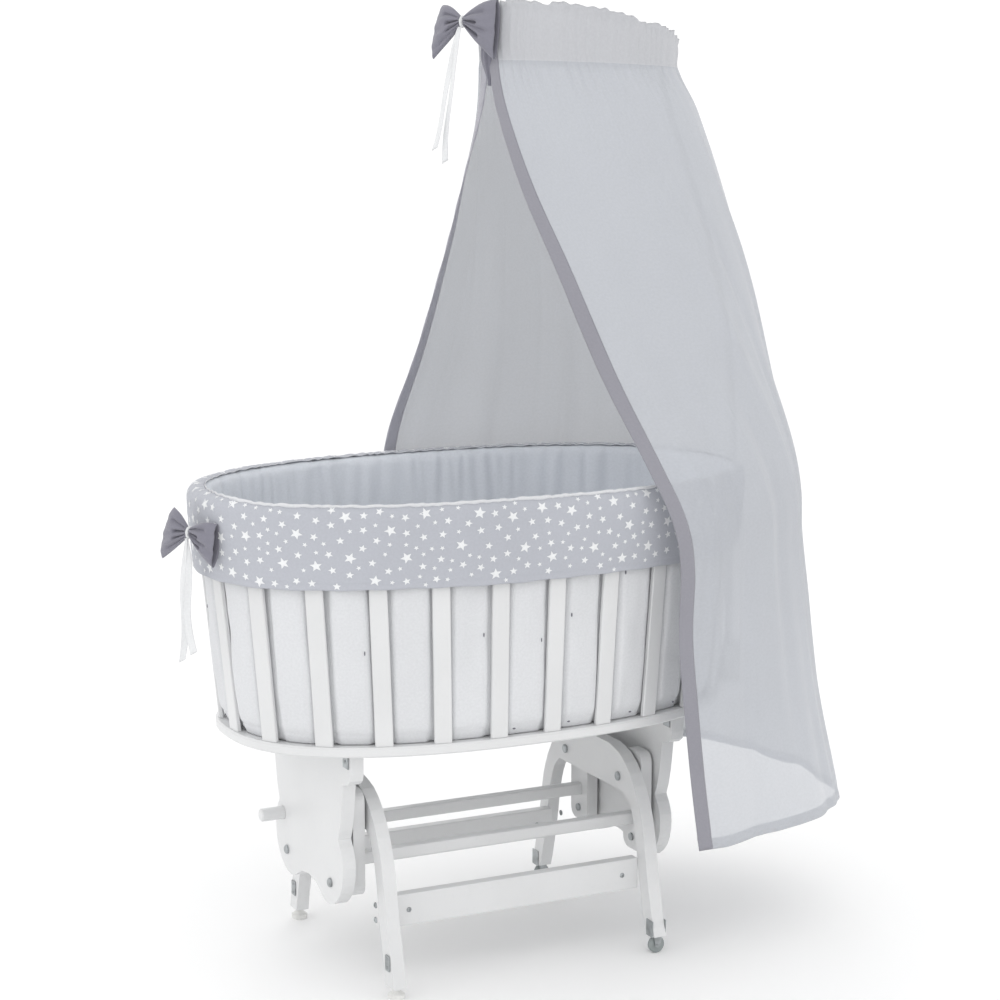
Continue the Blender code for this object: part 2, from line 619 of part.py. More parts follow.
def shell(name, rows, thick, mat, origin):
    """A closed thin solid on both sides of a grid of points."""
    bm = bmesh.new()
    high, wide = len(rows), len(rows[0])
    grids = []
    for sign in (1.0, -1.0):
        grid = []
        for i in range(high):
            line = []
            for j in range(wide):
                du = rows[i][min(j + 1, wide - 1)] - rows[i][max(j - 1, 0)]
                dv = rows[min(i + 1, high - 1)][j] - rows[max(i - 1, 0)][j]
                normal = du.cross(dv).normalized()
                line.append(bm.verts.new(rows[i][j] + normal * (sign * thick / 2)))
            grid.append(line)
        grids.append(grid)
    top, back = grids
    for i in range(high - 1):
        for j in range(wide - 1):
            bm.faces.new((top[i][j], top[i][j + 1], top[i + 1][j + 1], top[i + 1][j]))
            bm.faces.new((back[i][j], back[i + 1][j], back[i + 1][j + 1], back[i][j + 1]))
    border = [(0, j) for j in range(wide)] + [(i, wide - 1) for i in range(1, high)]
    border += [(high - 1, j) for j in range(wide - 2, -1, -1)] + [(i, 0) for i in range(high - 2, 0, -1)]
    for k, (i, j) in enumerate(border):
        m, n = border[(k + 1) % len(border)]
        bm.faces.new((top[i][j], back[i][j], back[m][n], top[m][n]))
    return add(name, bm, mat, origin)


shell("canopy_drape", [drape_row(k) for k in range(len(SECTION))], DRAPE_T, SHEER, (LOOP_X, 0, LOOP_Z_FRONT))


# bows: two wings, a knot and two ribbon tails, cut as one thin block
def wing_outline(top, low):
    """Half a bow, from the knot's top round its two outer corners to the knot's foot."""
    way = 1.0 if top[0] > 0 else -1.0
    half = [(way * 0.008, 0.009), (top[0] * 0.52, (top[1] + 0.009) * 0.55), top]
    half += [(max(abs(top[0]), abs(low[0])) * way * 0.97, (top[1] + low[1]) / 2.0), low]
    return half + [(low[0] * 0.52, (low[1] - 0.010) * 0.52), (way * 0.010, -0.010)]


def bow(name, centre, facing, corners, tails):
    right = wing_outline(corners[2], corners[3])
    left = wing_outline(corners[0], corners[1])[::-1]
    (u1, v1), (u2, v2) = tails
    tail = [(0.008, -0.016), (u2 + 0.004, v2), (u2 - 0.004, v2), (0.001, -0.030)]
    tail += [(u1 + 0.004, v1), (u1 - 0.004, v1), (-0.007, -0.016)]
    outline = right + tail + left
    bm = bmesh.new()
    across = Vector((math.cos(facing), math.sin(facing), 0.0))
    depth = Vector((-math.sin(facing), math.cos(facing), 0.0)) * 0.004
    base = Vector(centre)
    rings = []
    for sign in (-1, 1):
        rings.append([bm.verts.new(base + across * u + Vector((0, 0, v)) + depth * sign) for u, v in outline])
    count = len(outline)
    edges = [bm.edges.new((rings[0][k], rings[0][(k + 1) % count])) for k in range(count)]
    other = [bm.edges.new((rings[1][k], rings[1][(k + 1) % count])) for k in range(count)]
    bmesh.ops.triangle_fill(bm, use_beauty=True, edges=edges)
    bmesh.ops.triangle_fill(bm, use_beauty=True, edges=other)
    for k in range(count):
        n = (k + 1) % count
        bm.faces.new((rings[0][k], rings[0][n], rings[1][n], rings[1][k]))
    return add(name, bm, GREY_CLOTH, centre)


# the outer corners of each bow's two wings: left top, left foot, right top, right foot
BASKET_WINGS = ((-0.036, 0.035), (-0.062, -0.048), (0.050, 0.017), (0.040, -0.052))
CANOPY_WINGS = ((-0.042, 0.027), (-0.062, -0.058), (0.062, 0.035), (0.055, -0.060))
bow("bow_basket", (-0.499, -0.038, 0.735), math.radians(-60), BASKET_WINGS, ((-0.020, -0.200), (0.004, -0.185)))
bow("bow_canopy", (-0.012, 0.010, 1.510), math.radians(-60), CANOPY_WINGS, ((-0.048, -0.185), (-0.030, -0.210)))
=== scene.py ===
"""Oval baby crib on a gliding stand, dressed with its liner, star band, canopy and bows.

Run as a script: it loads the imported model, makes every soft piece and finish
round it, and sets up a plain pale stage. Metres, +Z up, the canopy at +X.
"""
import math
import random

import bmesh
import bpy
import numpy as np
from bpy.props import FloatProperty, FloatVectorProperty, IntProperty, PointerProperty
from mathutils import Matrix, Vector, noise


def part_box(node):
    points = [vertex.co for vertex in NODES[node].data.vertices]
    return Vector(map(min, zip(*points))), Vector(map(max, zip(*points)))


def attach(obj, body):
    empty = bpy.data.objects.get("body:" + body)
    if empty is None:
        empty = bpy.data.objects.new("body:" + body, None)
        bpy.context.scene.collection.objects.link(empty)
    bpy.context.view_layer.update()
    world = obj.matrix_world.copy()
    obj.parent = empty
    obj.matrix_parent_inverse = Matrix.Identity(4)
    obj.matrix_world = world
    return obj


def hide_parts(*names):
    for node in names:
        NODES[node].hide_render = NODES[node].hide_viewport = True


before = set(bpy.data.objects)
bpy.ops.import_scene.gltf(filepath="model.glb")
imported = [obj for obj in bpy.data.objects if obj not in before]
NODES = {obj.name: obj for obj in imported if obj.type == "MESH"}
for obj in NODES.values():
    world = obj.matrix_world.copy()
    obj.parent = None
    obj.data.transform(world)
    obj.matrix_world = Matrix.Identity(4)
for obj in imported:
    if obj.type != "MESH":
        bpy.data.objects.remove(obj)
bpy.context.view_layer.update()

bl_info = {
    "name": "Baby crib with canopy",
    "version": (1, 0, 0),
    "blender": (4, 5, 0),
    "location": "3D View > Sidebar > Crib",
    "description": "Dresses an oval gliding baby crib with its fabric, finishes and stage",
    "category": "Object",
}

PLATE_LOW, PLATE_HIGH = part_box("base_plate")
CRIB = np.array([(PLATE_LOW.x + PLATE_HIGH.x) / 2.0, 0.0, 0.0])   # centre of the basket
WELD = 1e-6               # points closer than this are one
HANGER_BRACKET_Y = 0.166  # from the middle of a hanger panel to its angle brackets
LEG_PLATE_Y = 0.2020
RAIL_BOLT_Y = 0.1553

# ------------------------------------------------------------------ finishes of the hard parts
WOODEN = ("arch_frame", "rail", "link", "rod", "hanger_panel", "base_plate", "slat", "rim_ring", "lock_peg")
# a word in a part's name and its finish; the first that fits counts, the pole and clamp are painted
FITTINGS = (("pole", "paint"), ("clamp", "paint"), ("bolt", "steel"), ("bracket", "steel"))
FITTINGS += (("glide", "plastic"), ("wheel", "tyre"))

# ------------------------------------------------------------------ stage
CAMERA_PLACE = (-1.73261, -3.50884, 1.40229)
CAMERA_AIM = (-0.02537, -0.016, 0.7421)
LIGHT_AIM = (0.0, 0.0, 0.7)
# name, place, width in metres and watts
SOFTBOXES = (("side softbox", (-4.2, -1.3, 2.7), 2.6, 11.0), ("key softbox", (-1.6, -3.6, 3.6), 2.4, 8.0))
SOFTBOXES += (("rear softbox", (1.6, 3.6, 3.2), 2.4, 12.0),)

# ------------------------------------------------------------------ section of the fabric cover
# half length, half width, squareness and height, from the foot of the inner wall,
# over the rim and down to the hem of the band
COVER = [(0.4036, 0.2240, 2.40, 0.4130), (0.4130, 0.2293, 2.38, 0.5165), (0.4230, 0.2350, 2.35, 0.6200)]
COVER += [(0.4290, 0.2380, 2.33, 0.7000), (0.4350, 0.2412, 2.30, 0.7640), (0.4395, 0.2456, 2.30, 0.7810)]
COVER += [(0.4475, 0.2536, 2.30, 0.7885), (0.4565, 0.2625, 2.30, 0.7900), (0.4655, 0.2715, 2.30, 0.7875)]
COVER += [(0.4720, 0.2780, 2.30, 0.7800), (0.4742, 0.2802, 2.30, 0.7680), (0.4737, 0.2797, 2.30, 0.7400)]
COVER += [(0.4708, 0.2772, 2.30, 0.7000), (0.4670, 0.2740, 2.30, 0.6610)]
# the cloth that shows between the slats, from the plate up to the rim
SKIRT = [(0.4120, 0.2325, 2.40, 0.4125), (0.4148, 0.2350, 2.39, 0.4250), (0.4162, 0.2366, 2.38, 0.4500)]
SKIRT += [(0.4320, 0.2448, 2.35, 0.6200), (0.4410, 0.2485, 2.31, 0.7200), (0.4440, 0.2500, 2.30, 0.7580)]
RINGS = 480               # columns round the basket
SLATS = 24
SLAT_TURN = 0.22          # the first slat stands this share of a space round from +X

# ------------------------------------------------------------------ canopy drape
FRONT_EDGE = [(0.0285, -0.0045, 1.530), (0.0290, -0.0045, 1.450), (0.024, -0.040, 1.372), (0.042, -0.092, 1.250)]
FRONT_EDGE += [(0.075, -0.148, 1.125), (0.117, -0.218, 0.965), (0.166, -0.277, 0.830), (0.199, -0.306, 0.740)]
FRONT_EDGE += [(0.2135, -0.310, 0.660), (0.212, -0.310, 0.540), (0.233, -0.310, 0.350), (0.254, -0.310, 0.200)]
REAR_EDGE = [(0.0285, 0.0045, 1.530), (0.0290, 0.0045, 1.450), (0.036, 0.040, 1.372), (0.025, 0.092, 1.250)]
REAR_EDGE += [(0.016, 0.148, 1.125), (-0.002, 0.218, 0.965), (-0.030, 0.272, 0.830), (-0.038, 0.291, 0.740)]
REAR_EDGE += [(-0.034, 0.292, 0.660), (-0.024, 0.290, 0.540), (-0.008, 0.288, 0.370), (0.006, 0.286, 0.262)]
# centre, half length, half width and squareness of the shell at each of the same levels
SECTION = [(0.190, 0.1630, 0.1500, 2.0), (0.190, 0.1630, 0.1500, 2.0), (0.195, 0.1930, 0.1750, 2.0)]
SECTION += [(0.200, 0.2350, 0.2000, 2.0), (0.205, 0.2650, 0.2280, 2.1), (0.210, 0.3020, 0.2600, 2.2)]
SECTION += [(0.212, 0.3330, 0.2840, 2.3), (0.213, 0.3480, 0.2980, 2.3), (0.214, 0.3530, 0.2990, 2.3)]
SECTION += [(0.215, 0.3720, 0.3000, 2.3), (0.215, 0.4120, 0.3010, 2.3), (0.215, 0.4500, 0.3020, 2.3)]
HEADER_DROP = 0.062       # the gathered header stands lower towards the pole
DRAPE_COLUMNS = 420

# ------------------------------------------------------------------ bows
BOW_FACING = math.radians(-60.0)
BASKET_BOW = (-0.499, -0.038, 0.735)
CANOPY_BOW = (-0.012, 0.010, 1.510)
# outer corners of each wing, across and up from the knot: left top, left foot, right top, right foot
BASKET_WINGS = ((-0.036, 0.035), (-0.062, -0.048), (0.050, 0.017), (0.040, -0.052))
CANOPY_WINGS = ((-0.042, 0.027), (-0.062, -0.058), (0.062, 0.035), (0.055, -0.060))
# creases of each wing: where across it, how wide, how deep, how far from the knot they reach
LEFT_FOLDS = ((0.16, 0.07, 0.85, 0.55), (-0.30, 0.08, 0.80, 0.50), (0.62, 0.08, 0.60, 0.80), (-0.70, 0.10, 0.45, 0.85))
RIGHT_FOLDS = ((0.12, 0.09, 1.0, 0.50), (-0.52, 0.11, 1.0, 0.60), (0.60, 0.10, 0.50, 0.80), (-0.15, 0.08, 0.40, 0.85))
POCKET = (1.0, 0.95, 0.88, 0.79, 0.70)     # how deep the open end of a loop goes


# ------------------------------------------------------------------ settings
def length(name, text, value, low=0.0, high=1.0):
    return FloatProperty(name=name, description=text, default=value, min=low, max=high, unit="LENGTH", precision=4)


def tint(name, text, value):
    return FloatVectorProperty(name=name, description=text, default=value, size=3, min=0.0, max=1.0, subtype="COLOR")


class CribSizes(bpy.types.PropertyGroup):
    """Sizes of the crib's fabric and fittings."""
    gathers: IntProperty(name="Liner gathers", description="Creases round the inner liner", default=92, min=8, max=240)
    gather_depth: length("Gather depth", "How deep a crease in the liner is", 0.0042, 0.0, 0.008)
    band_pucker: length("Band pucker", "Height of the puckers under the band's seam", 0.0011, 0.0, 0.004)
    seam_shift: length("Seam shift", "How far the top seam is pulled to the front", 0.0120, 0.0, 0.02)
    star_large: length("Large star", "Radius of a large printed star", 0.0098, 0.003, 0.02)
    star_medium: length("Medium star", "Radius of a medium printed star", 0.0066, 0.002, 0.02)
    star_small: length("Small star", "Radius of a small printed star", 0.0042, 0.001, 0.02)
    padding: length("Padding", "How far the wall's cloth stands out behind the slats", 0.0055, 0.0, 0.007)
    billow: length("Billow", "How far the wall's cloth stands out between the slats", 0.0100, 0.0, 0.015)
    piping: length("Piping", "Radius of the ruffled piping on the top seam", 0.0026, 0.001, 0.005)
    trim: length("Edge trim", "Width of the canopy's edge binding", 0.0250, 0.005, 0.04)
    hem: length("Hem", "Depth of the turned hem of the canopy", 0.0170, 0.005, 0.04)
    ruffle: length("Header ruffle", "Height of the ruffle above the hoop's casing", 0.0150, 0.0, 0.04)
    fold_depth: length("Canopy folds", "Height of the soft folds of the canopy", 0.0075, 0.0, 0.02)
    ribbon: length("Ribbon", "Width of the white ribbons", 0.0110, 0.01, 0.03)
    screw: length("Screw", "Radius of a screw head", 0.0034, 0.001, 0.01)
    floor: length("Floor", "Radius of the pale floor", 60.0, 2.0, 200.0)
    lens: FloatProperty(name="Lens", description="Focal length in millimetres", default=86.78, min=20.0, max=300.0)


class CribColours(bpy.types.PropertyGroup):
    """Colours of the crib's finishes."""
    paint: tint("Paint", "Sprayed white lacquer on the wood", (0.730, 0.735, 0.740))
    star_cloth: tint("Star cloth", "Grey ground of the printed band", (0.530, 0.545, 0.595))
    star_print: tint("Stars", "White print on the band", (0.90, 0.91, 0.92))
    lining: tint("Lining", "Pale lining of the basket", (0.830, 0.860, 0.910))
    white_cloth: tint("White cloth", "Cloth between the slats and on the mattress", (0.790, 0.800, 0.820))
    grey_cloth: tint("Grey cloth", "Cotton of the two bows", (0.262, 0.258, 0.306))
    binding: tint("Binding", "Grey cotton folded over the canopy's front edge", (0.342, 0.338, 0.379))
    # painted light: the far binding is the front binding's cotton in a lighter tint, painted lighter to make up for the
    # shade it lies in inside the canopy
    far_binding_painted_lighter: tint("Far binding, painted lighter", "The same cotton on the far edge", (0.520, 0.515, 0.570))
    sheer: tint("Sheer", "Thin cloth of the canopy", (0.590, 0.610, 0.652))
    casing: tint("Casing", "The same cloth where it lies double", (0.590, 0.598, 0.626))
    ribbon: tint("Ribbon", "White satin ribbon", (0.86, 0.87, 0.88))
    steel: tint("Steel", "Zinc-plated fittings", (0.42, 0.44, 0.45))
    plastic: tint("Plastic", "White glides", (0.80, 0.80, 0.78))
    tyre: tint("Tyre", "Grey castor wheels", (0.30, 0.33, 0.33))
    floor: tint("Floor", "Pale studio floor", (0.97, 0.97, 0.97))


# ------------------------------------------------------------------ finishes
def finish(name, colour, roughness, metallic=0.0, alpha=1.0, **constants):
    """A Principled surface; returns the material, its tree and its shader."""
    mat = bpy.data.materials.new(name)
    mat.use_nodes = True
    surface = mat.node_tree.nodes["Principled BSDF"]
    surface.inputs["Base Color"].default_value = (*colour, 1.0)
    surface.inputs["Roughness"].default_value = roughness
    surface.inputs["Metallic"].default_value = metallic
    surface.inputs["Alpha"].default_value = alpha
    for key, value in constants.items():
        surface.inputs[key.replace("_", " ")].default_value = value
    return mat, mat.node_tree, surface


def own_place(tree):
    return tree.nodes.new("ShaderNodeTexCoord").outputs["Object"]


def cloud(tree, place, scale, detail=3.0, roughness=0.55):
    """Soft noise at one scale."""
    field = tree.nodes.new("ShaderNodeTexNoise")
    field.inputs["Scale"].default_value = scale
    field.inputs["Detail"].default_value = detail
    field.inputs["Roughness"].default_value = roughness
    tree.links.new(place, field.inputs["Vector"])
    return field.outputs["Fac"]


def blend_tone(tree, factor, low, high, start=0.35, end=0.65):
    """A colour that runs from one tone to another with a factor."""
    ramp = tree.nodes.new("ShaderNodeValToRGB")
    first, last = ramp.color_ramp.elements
    first.position, last.position = start, end
    first.color = (*low, 1.0)
    last.color = (*high, 1.0)
    tree.links.new(factor, ramp.inputs["Fac"])
    return ramp.outputs["Color"]


def spread(tree, factor, low, high):
    """Maps a factor from the middle of its range to two limits."""
    run = tree.nodes.new("ShaderNodeMapRange")
    for key, value in (("From Min", 0.3), ("From Max", 0.7), ("To Min", low), ("To Max", high)):
        run.inputs[key].default_value = value
    tree.links.new(factor, run.inputs["Value"])
    return run.outputs["Result"]


def combine(tree, a, b, how):
    step = tree.nodes.new("ShaderNodeMath")
    step.operation = how
    tree.links.new(a, step.inputs[0])
    tree.links.new(b, step.inputs[1])
    return step.outputs["Value"]


def multiply_tone(tree, a, b):
    mix = tree.nodes.new("ShaderNodeMix")
    mix.data_type = "RGBA"
    mix.blend_type = "MULTIPLY"
    mix.inputs["Factor"].default_value = 1.0
    tree.links.new(a, mix.inputs["A"])
    tree.links.new(b, mix.inputs["B"])
    return mix.outputs["Result"]


def relief(tree, surface, height, distance, strength=0.5, under=None):
    """Bump from a height field, stacked on an earlier one if there is one."""
    bump = tree.nodes.new("ShaderNodeBump")
    bump.inputs["Strength"].default_value = strength
    bump.inputs["Distance"].default_value = distance
    tree.links.new(height, bump.inputs["Height"])
    if under is not None:
        tree.links.new(under, bump.inputs["Normal"])
    tree.links.new(bump.outputs["Normal"], surface.inputs["Normal"])
    return bump.outputs["Normal"]


def threads(tree, place, pitch):
    """Plain weave: two sets of threads that cross."""
    sets = []
    for way in ("X", "Y"):
        wave = tree.nodes.new("ShaderNodeTexWave")
        wave.wave_type = "BANDS"
        wave.bands_direction = way
        wave.inputs["Scale"].default_value = 2.0 * math.pi / (20.0 * pitch)
        wave.inputs["Distortion"].default_value = 0.6
        wave.inputs["Detail"].default_value = 1.0
        tree.links.new(place, wave.inputs["Vector"])
        sets.append(wave.outputs["Fac"])
    return combine(tree, sets[0], sets[1], "MULTIPLY")


def shade(colour, amount):
    return tuple(c * amount for c in colour)


def lacquer(name, colour):
    """Sprayed lacquer on smooth board: fine orange peel, faint cloudiness."""
    mat, tree, surface = finish(name, colour, 0.40, Coat_Weight=0.18, Coat_Roughness=0.22)
    place = own_place(tree)
    soft = cloud(tree, place, 6.0, 4.0)
    specks = cloud(tree, place, 160.0, 2.0)
    base = blend_tone(tree, soft, shade(colour, 0.955), colour)
    worn = blend_tone(tree, specks, shade((1, 1, 1), 0.985), (1, 1, 1), 0.30, 0.42)
    tree.links.new(multiply_tone(tree, base, worn), surface.inputs["Base Color"])
    tree.links.new(spread(tree, soft, 0.34, 0.47), surface.inputs["Roughness"])
    peel = relief(tree, surface, cloud(tree, place, 420.0, 2.0), 0.00012, 0.45)
    relief(tree, surface, cloud(tree, place, 26.0, 2.0), 0.0006, 0.25, peel)
    return mat


def zinc(name, colour):
    """Zinc-plated steel with a cloudy, slightly dulled surface."""
    mat, tree, surface = finish(name, colour, 0.36, metallic=1.0)
    place = own_place(tree)
    soft = cloud(tree, place, 60.0, 4.0)
    tree.links.new(blend_tone(tree, soft, shade(colour, 0.72), shade(colour, 1.15)), surface.inputs["Base Color"])
    tree.links.new(spread(tree, soft, 0.26, 0.50), surface.inputs["Roughness"])
    relief(tree, surface, cloud(tree, place, 900.0, 2.0), 0.00008, 0.4)
    return mat


def moulded(name, colour, roughness):
    """Moulded plastic or rubber with a fine eroded texture."""
    mat, tree, surface = finish(name, colour, roughness)
    place = own_place(tree)
    soft = cloud(tree, place, 45.0, 3.0)
    tree.links.new(blend_tone(tree, soft, shade(colour, 0.88), colour), surface.inputs["Base Color"])
    tree.links.new(spread(tree, soft, roughness - 0.06, roughness + 0.10), surface.inputs["Roughness"])
    relief(tree, surface, cloud(tree, place, 1100.0, 2.0), 0.00010, 0.5)
    return mat


def woven(name, colour, pitch, bump=0.00022, sheen=0.25, alpha=1.0, mapped=True, mottle=0.05, roughness=0.82):
    """Plain-weave cloth. The threads follow the cloth's own flat sizes where it has them."""
    mat, tree, surface = finish(name, colour, roughness, alpha=alpha, Sheen_Weight=sheen, Sheen_Roughness=0.45)
    surface.inputs["Specular IOR Level"].default_value = 0.25
    solid = own_place(tree)
    place = solid
    if mapped:
        flat = tree.nodes.new("ShaderNodeUVMap")
        flat.uv_map = "cloth"
        place = flat.outputs["UV"]
    weave = threads(tree, place, pitch)
    slub = cloud(tree, place, 240.0, 3.0)
    soft = cloud(tree, solid, 4.0, 3.0)
    base = blend_tone(tree, soft, shade(colour, 1.0 - mottle), colour)
    yarn = blend_tone(tree, weave, shade((1, 1, 1), 0.93), (1, 1, 1), 0.05, 0.75)
    fleck = blend_tone(tree, slub, shade((1, 1, 1), 0.95), (1, 1, 1), 0.35, 0.65)
    tone = multiply_tone(tree, multiply_tone(tree, base, yarn), fleck)
    tree.links.new(tone, surface.inputs["Base Color"])
    tree.links.new(spread(tree, slub, roughness - 0.08, roughness + 0.08), surface.inputs["Roughness"])
    fine = relief(tree, surface, weave, bump, 0.55)
    relief(tree, surface, cloud(tree, solid, 34.0, 4.0, 0.6), 0.0010, 0.30, fine)
    return mat


def make_finishes(colours):
    """Every finish of the crib, by a plain name."""
    return {
        "paint": lacquer("crib white lacquer", colours.paint),
        "steel": zinc("crib zinc-plated steel", colours.steel),
        "plastic": moulded("crib white glide plastic", colours.plastic, 0.42),
        "tyre": moulded("crib grey castor tyre", colours.tyre, 0.58),
        "star_cloth": woven("crib grey star cotton", colours.star_cloth, 0.0006),
        "star_print": woven("crib white star print", colours.star_print, 0.0006, 0.00012, 0.1, mapped=False),
        "lining": woven("crib pale lining", colours.lining, 0.0005),
        "white_cloth": woven("crib white cotton", colours.white_cloth, 0.0005),
        "sheet_cloth": woven("crib mattress cotton", colours.white_cloth, 0.0007, mapped=False),
        "grey_cloth": woven("crib grey binding cotton", colours.grey_cloth, 0.0006, 0.00025, 0.35),
        "binding": woven("crib canopy edge binding", colours.binding, 0.0006, 0.00025, 0.30),
        # the far edge's binding is the same cotton painted lighter, as painted light against the canopy's shade
        "far_binding_painted_lighter": woven("crib canopy far edge binding painted lighter", colours.far_binding_painted_lighter, 0.0006, 0.00025, 0.30),
        "sheer": woven("crib sheer voile", colours.sheer, 0.0009, 0.00016, 0.30, alpha=0.775, mottle=0.03),
        "casing": woven("crib doubled voile", colours.casing, 0.0009, 0.00016, 0.30, alpha=0.94, mottle=0.03),
        "ribbon": woven("crib white satin ribbon", colours.ribbon, 0.0004, 0.00008, 0.40, roughness=0.45),
        "stitch": woven("crib grey sewing thread", shade(colours.grey_cloth, 0.75), 0.0004, mapped=False),
    }


FINISH = {}


# ------------------------------------------------------------------ surfaces
def oval(a, b, n, turn):
    """Points of an oval that is squarer than an ellipse for n above 2."""
    c, s = np.cos(turn), np.sin(turn)
    return a * np.sign(c) * np.abs(c) ** (2.0 / n), b * np.sign(s) * np.abs(s) ** (2.0 / n)


def even_turns(a, b, n, count):
    """Turns that space points evenly round an oval, from +X anticlockwise."""
    fine = np.linspace(0.0, 2.0 * np.pi, 4001)
    x, y = oval(a, b, n, fine)
    run = running(np.hypot(np.diff(x), np.diff(y)))
    return np.interp(np.linspace(0.0, run[-1], count, endpoint=False), run, fine), run[-1]


def running(steps):
    """Distances from the start of a line, from the lengths of its steps."""
    return np.concatenate(([0.0], np.cumsum(steps)))


def through(p0, p1, p2, p3, t):
    """A Catmull-Rom point between p1 and p2."""
    return 0.5 * (2 * p1 + (p2 - p0) * t + (2 * p0 - 5 * p1 + 4 * p2 - p3) * t * t
                  + (3 * p1 - p0 - 3 * p2 + p3) * t ** 3)


def smooth(table, steps):
    """Catmull-Rom points through the rows of a table."""
    rows = np.array(table, float)
    padded = np.vstack([rows[0], rows, rows[-1]])
    out = []
    for k in range(len(rows) - 1):
        p0, p1, p2, p3 = padded[k:k + 4]
        for t in np.arange(steps) / steps:
            out.append(through(p0, p1, p2, p3, t))
    out.append(rows[-1])
    return np.array(out)


def between(table, level):
    """A table's row at any level between its own rows."""
    k = min(int(level), len(table) - 2)
    rows = np.array(table, float)
    p0, p1, p2, p3 = rows[max(k - 1, 0)], rows[k], rows[k + 1], rows[min(k + 2, len(rows) - 1)]
    return through(p0, p1, p2, p3, level - k)


def ease(x, low=0.0, high=1.0):
    t = np.clip((x - low) / (high - low), 0.0, 1.0)
    return t * t * (3.0 - 2.0 * t)


def facing(grid, wrap):
    """Unit normals of a grid of points, on the side that shows."""
    if wrap:
        du = np.roll(grid, -1, 1) - np.roll(grid, 1, 1)
    else:
        du = np.gradient(grid, axis=1)
    dv = np.gradient(grid, axis=0)
    normal = np.cross(dv, du)
    return normal / (np.linalg.norm(normal, axis=2, keepdims=True) + 1e-12)


def aim_at(thing, target):
    """Turn a camera or a lamp towards a point."""
    thing.rotation_euler = (Vector(target) - thing.location).to_track_quat("-Z", "Y").to_euler()


def mesh_from(name, bm):
    """A mesh that takes over what a bmesh holds."""
    mesh = bpy.data.meshes.new(name)
    bm.to_mesh(mesh)
    bm.free()
    return mesh


def mend(piece, weld=False, fill=False, split=False):
    """Weld, close or split up a piece's faces as asked, and turn them outwards."""
    bm = bmesh.new()
    bm.from_mesh(piece.data)
    if weld:
        bmesh.ops.remove_doubles(bm, verts=bm.verts[:], dist=WELD)
    if fill:
        bmesh.ops.holes_fill(bm, edges=[e for e in bm.edges if e.is_boundary])
    if split:
        bmesh.ops.triangulate(bm, faces=[f for f in bm.faces if len(f.verts) > 4])
    bmesh.ops.recalc_face_normals(bm, faces=bm.faces[:])
    bm.to_mesh(piece.data)
    bm.free()
    return piece


def repaint(node, key):
    node.data.materials.clear()
    node.data.materials.append(FINISH[key])


def add_object(name, mesh, material, body):
    """Link a mesh as a piece that rides on a body."""
    mesh.materials.append(material)
    piece = bpy.data.objects.new(name, mesh)
    bpy.context.scene.collection.objects.link(piece)
    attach(piece, body)
    return piece


def cloth_piece(name, grid, material, body="basket", wrap=False, thick=0.0, offset=-1.0):
    """A sheet from a grid of points, with its flat sizes as the 'cloth' map."""
    high, wide = grid.shape[:2]
    spans = wide if wrap else wide - 1
    i, j = np.meshgrid(np.arange(high - 1), np.arange(spans), indexing="ij")
    right = (j + 1) % wide
    quads = np.stack([i * wide + j, (i + 1) * wide + j, (i + 1) * wide + right, i * wide + right], -1).reshape(-1, 4)
    mesh = bpy.data.meshes.new(name)
    mesh.from_pydata(grid.reshape(-1, 3).tolist(), [], quads.tolist())
    along = np.linalg.norm(np.roll(grid, -1, 1) - grid, axis=2)[high // 2]
    u = running(along[:spans])
    down = np.linalg.norm(np.diff(grid, axis=0), axis=2).mean(1)
    v = running(down)
    corners = np.stack([np.stack([u[j], v[i]], -1), np.stack([u[j], v[i + 1]], -1),
                        np.stack([u[j + 1], v[i + 1]], -1), np.stack([u[j + 1], v[i]], -1)], 2)
    flat = mesh.uv_layers.new(name="cloth")
    flat.data.foreach_set("uv", corners.reshape(-1).astype(np.float32))
    mesh.shade_smooth()
    piece = add_object(name, mesh, material, body)
    if thick > 0.0:
        wall = piece.modifiers.new("cloth thickness", "SOLIDIFY")
        wall.thickness = thick
        wall.offset = offset
    return piece


def wander(points, scale, seed):
    """Smooth noise in -1..1 at each point of a grid."""
    shift = Vector((seed * 7.31, seed * 3.17, seed * 1.73))
    flat = points.reshape(-1, 3) * scale
    values = [noise.noise(Vector(p) + shift) for p in flat.tolist()]
    return np.array(values).reshape(points.shape[:2])


def wander_line(run, scale, seed):
    """Smooth noise in -1..1 along a line."""
    return wander(np.stack([run, run * 0, run * 0], -1)[None], scale, seed)[0]


def ring_sheet(table, turns):
    """A grid that follows a table of ovals, one row for each."""
    rows = []
    for a, b, n, z in table:
        x, y = oval(a, b, n, turns)
        rows.append(np.stack([x, y, np.full_like(x, z)], -1))
    return np.array(rows) + CRIB


def at_run(table, runs):
    """Rows of a table of ovals at distances along its section."""
    rows = smooth(table, 10)
    run = running(np.hypot(np.diff(rows[:, 0]), np.diff(rows[:, 3])))
    return np.stack([np.interp(runs, run, rows[:, k]) for k in range(4)], -1), run[-1]


def on_grid(grid, row, column, wrap):
    """A point of a grid at fractional row and column."""
    high, wide = grid.shape[:2]
    i = int(min(max(row, 0.0), high - 1.001))
    j = int(math.floor(column))
    di, dj = row - i, column - j
    if wrap:
        k, m = j % wide, (j + 1) % wide
    else:
        k, m = min(max(j, 0), wide - 1), min(max(j + 1, 0), wide - 1)
    top = grid[i, k] * (1 - dj) + grid[i, m] * dj
    low = grid[i + 1, k] * (1 - dj) + grid[i + 1, m] * dj
    return top * (1 - di) + low * di


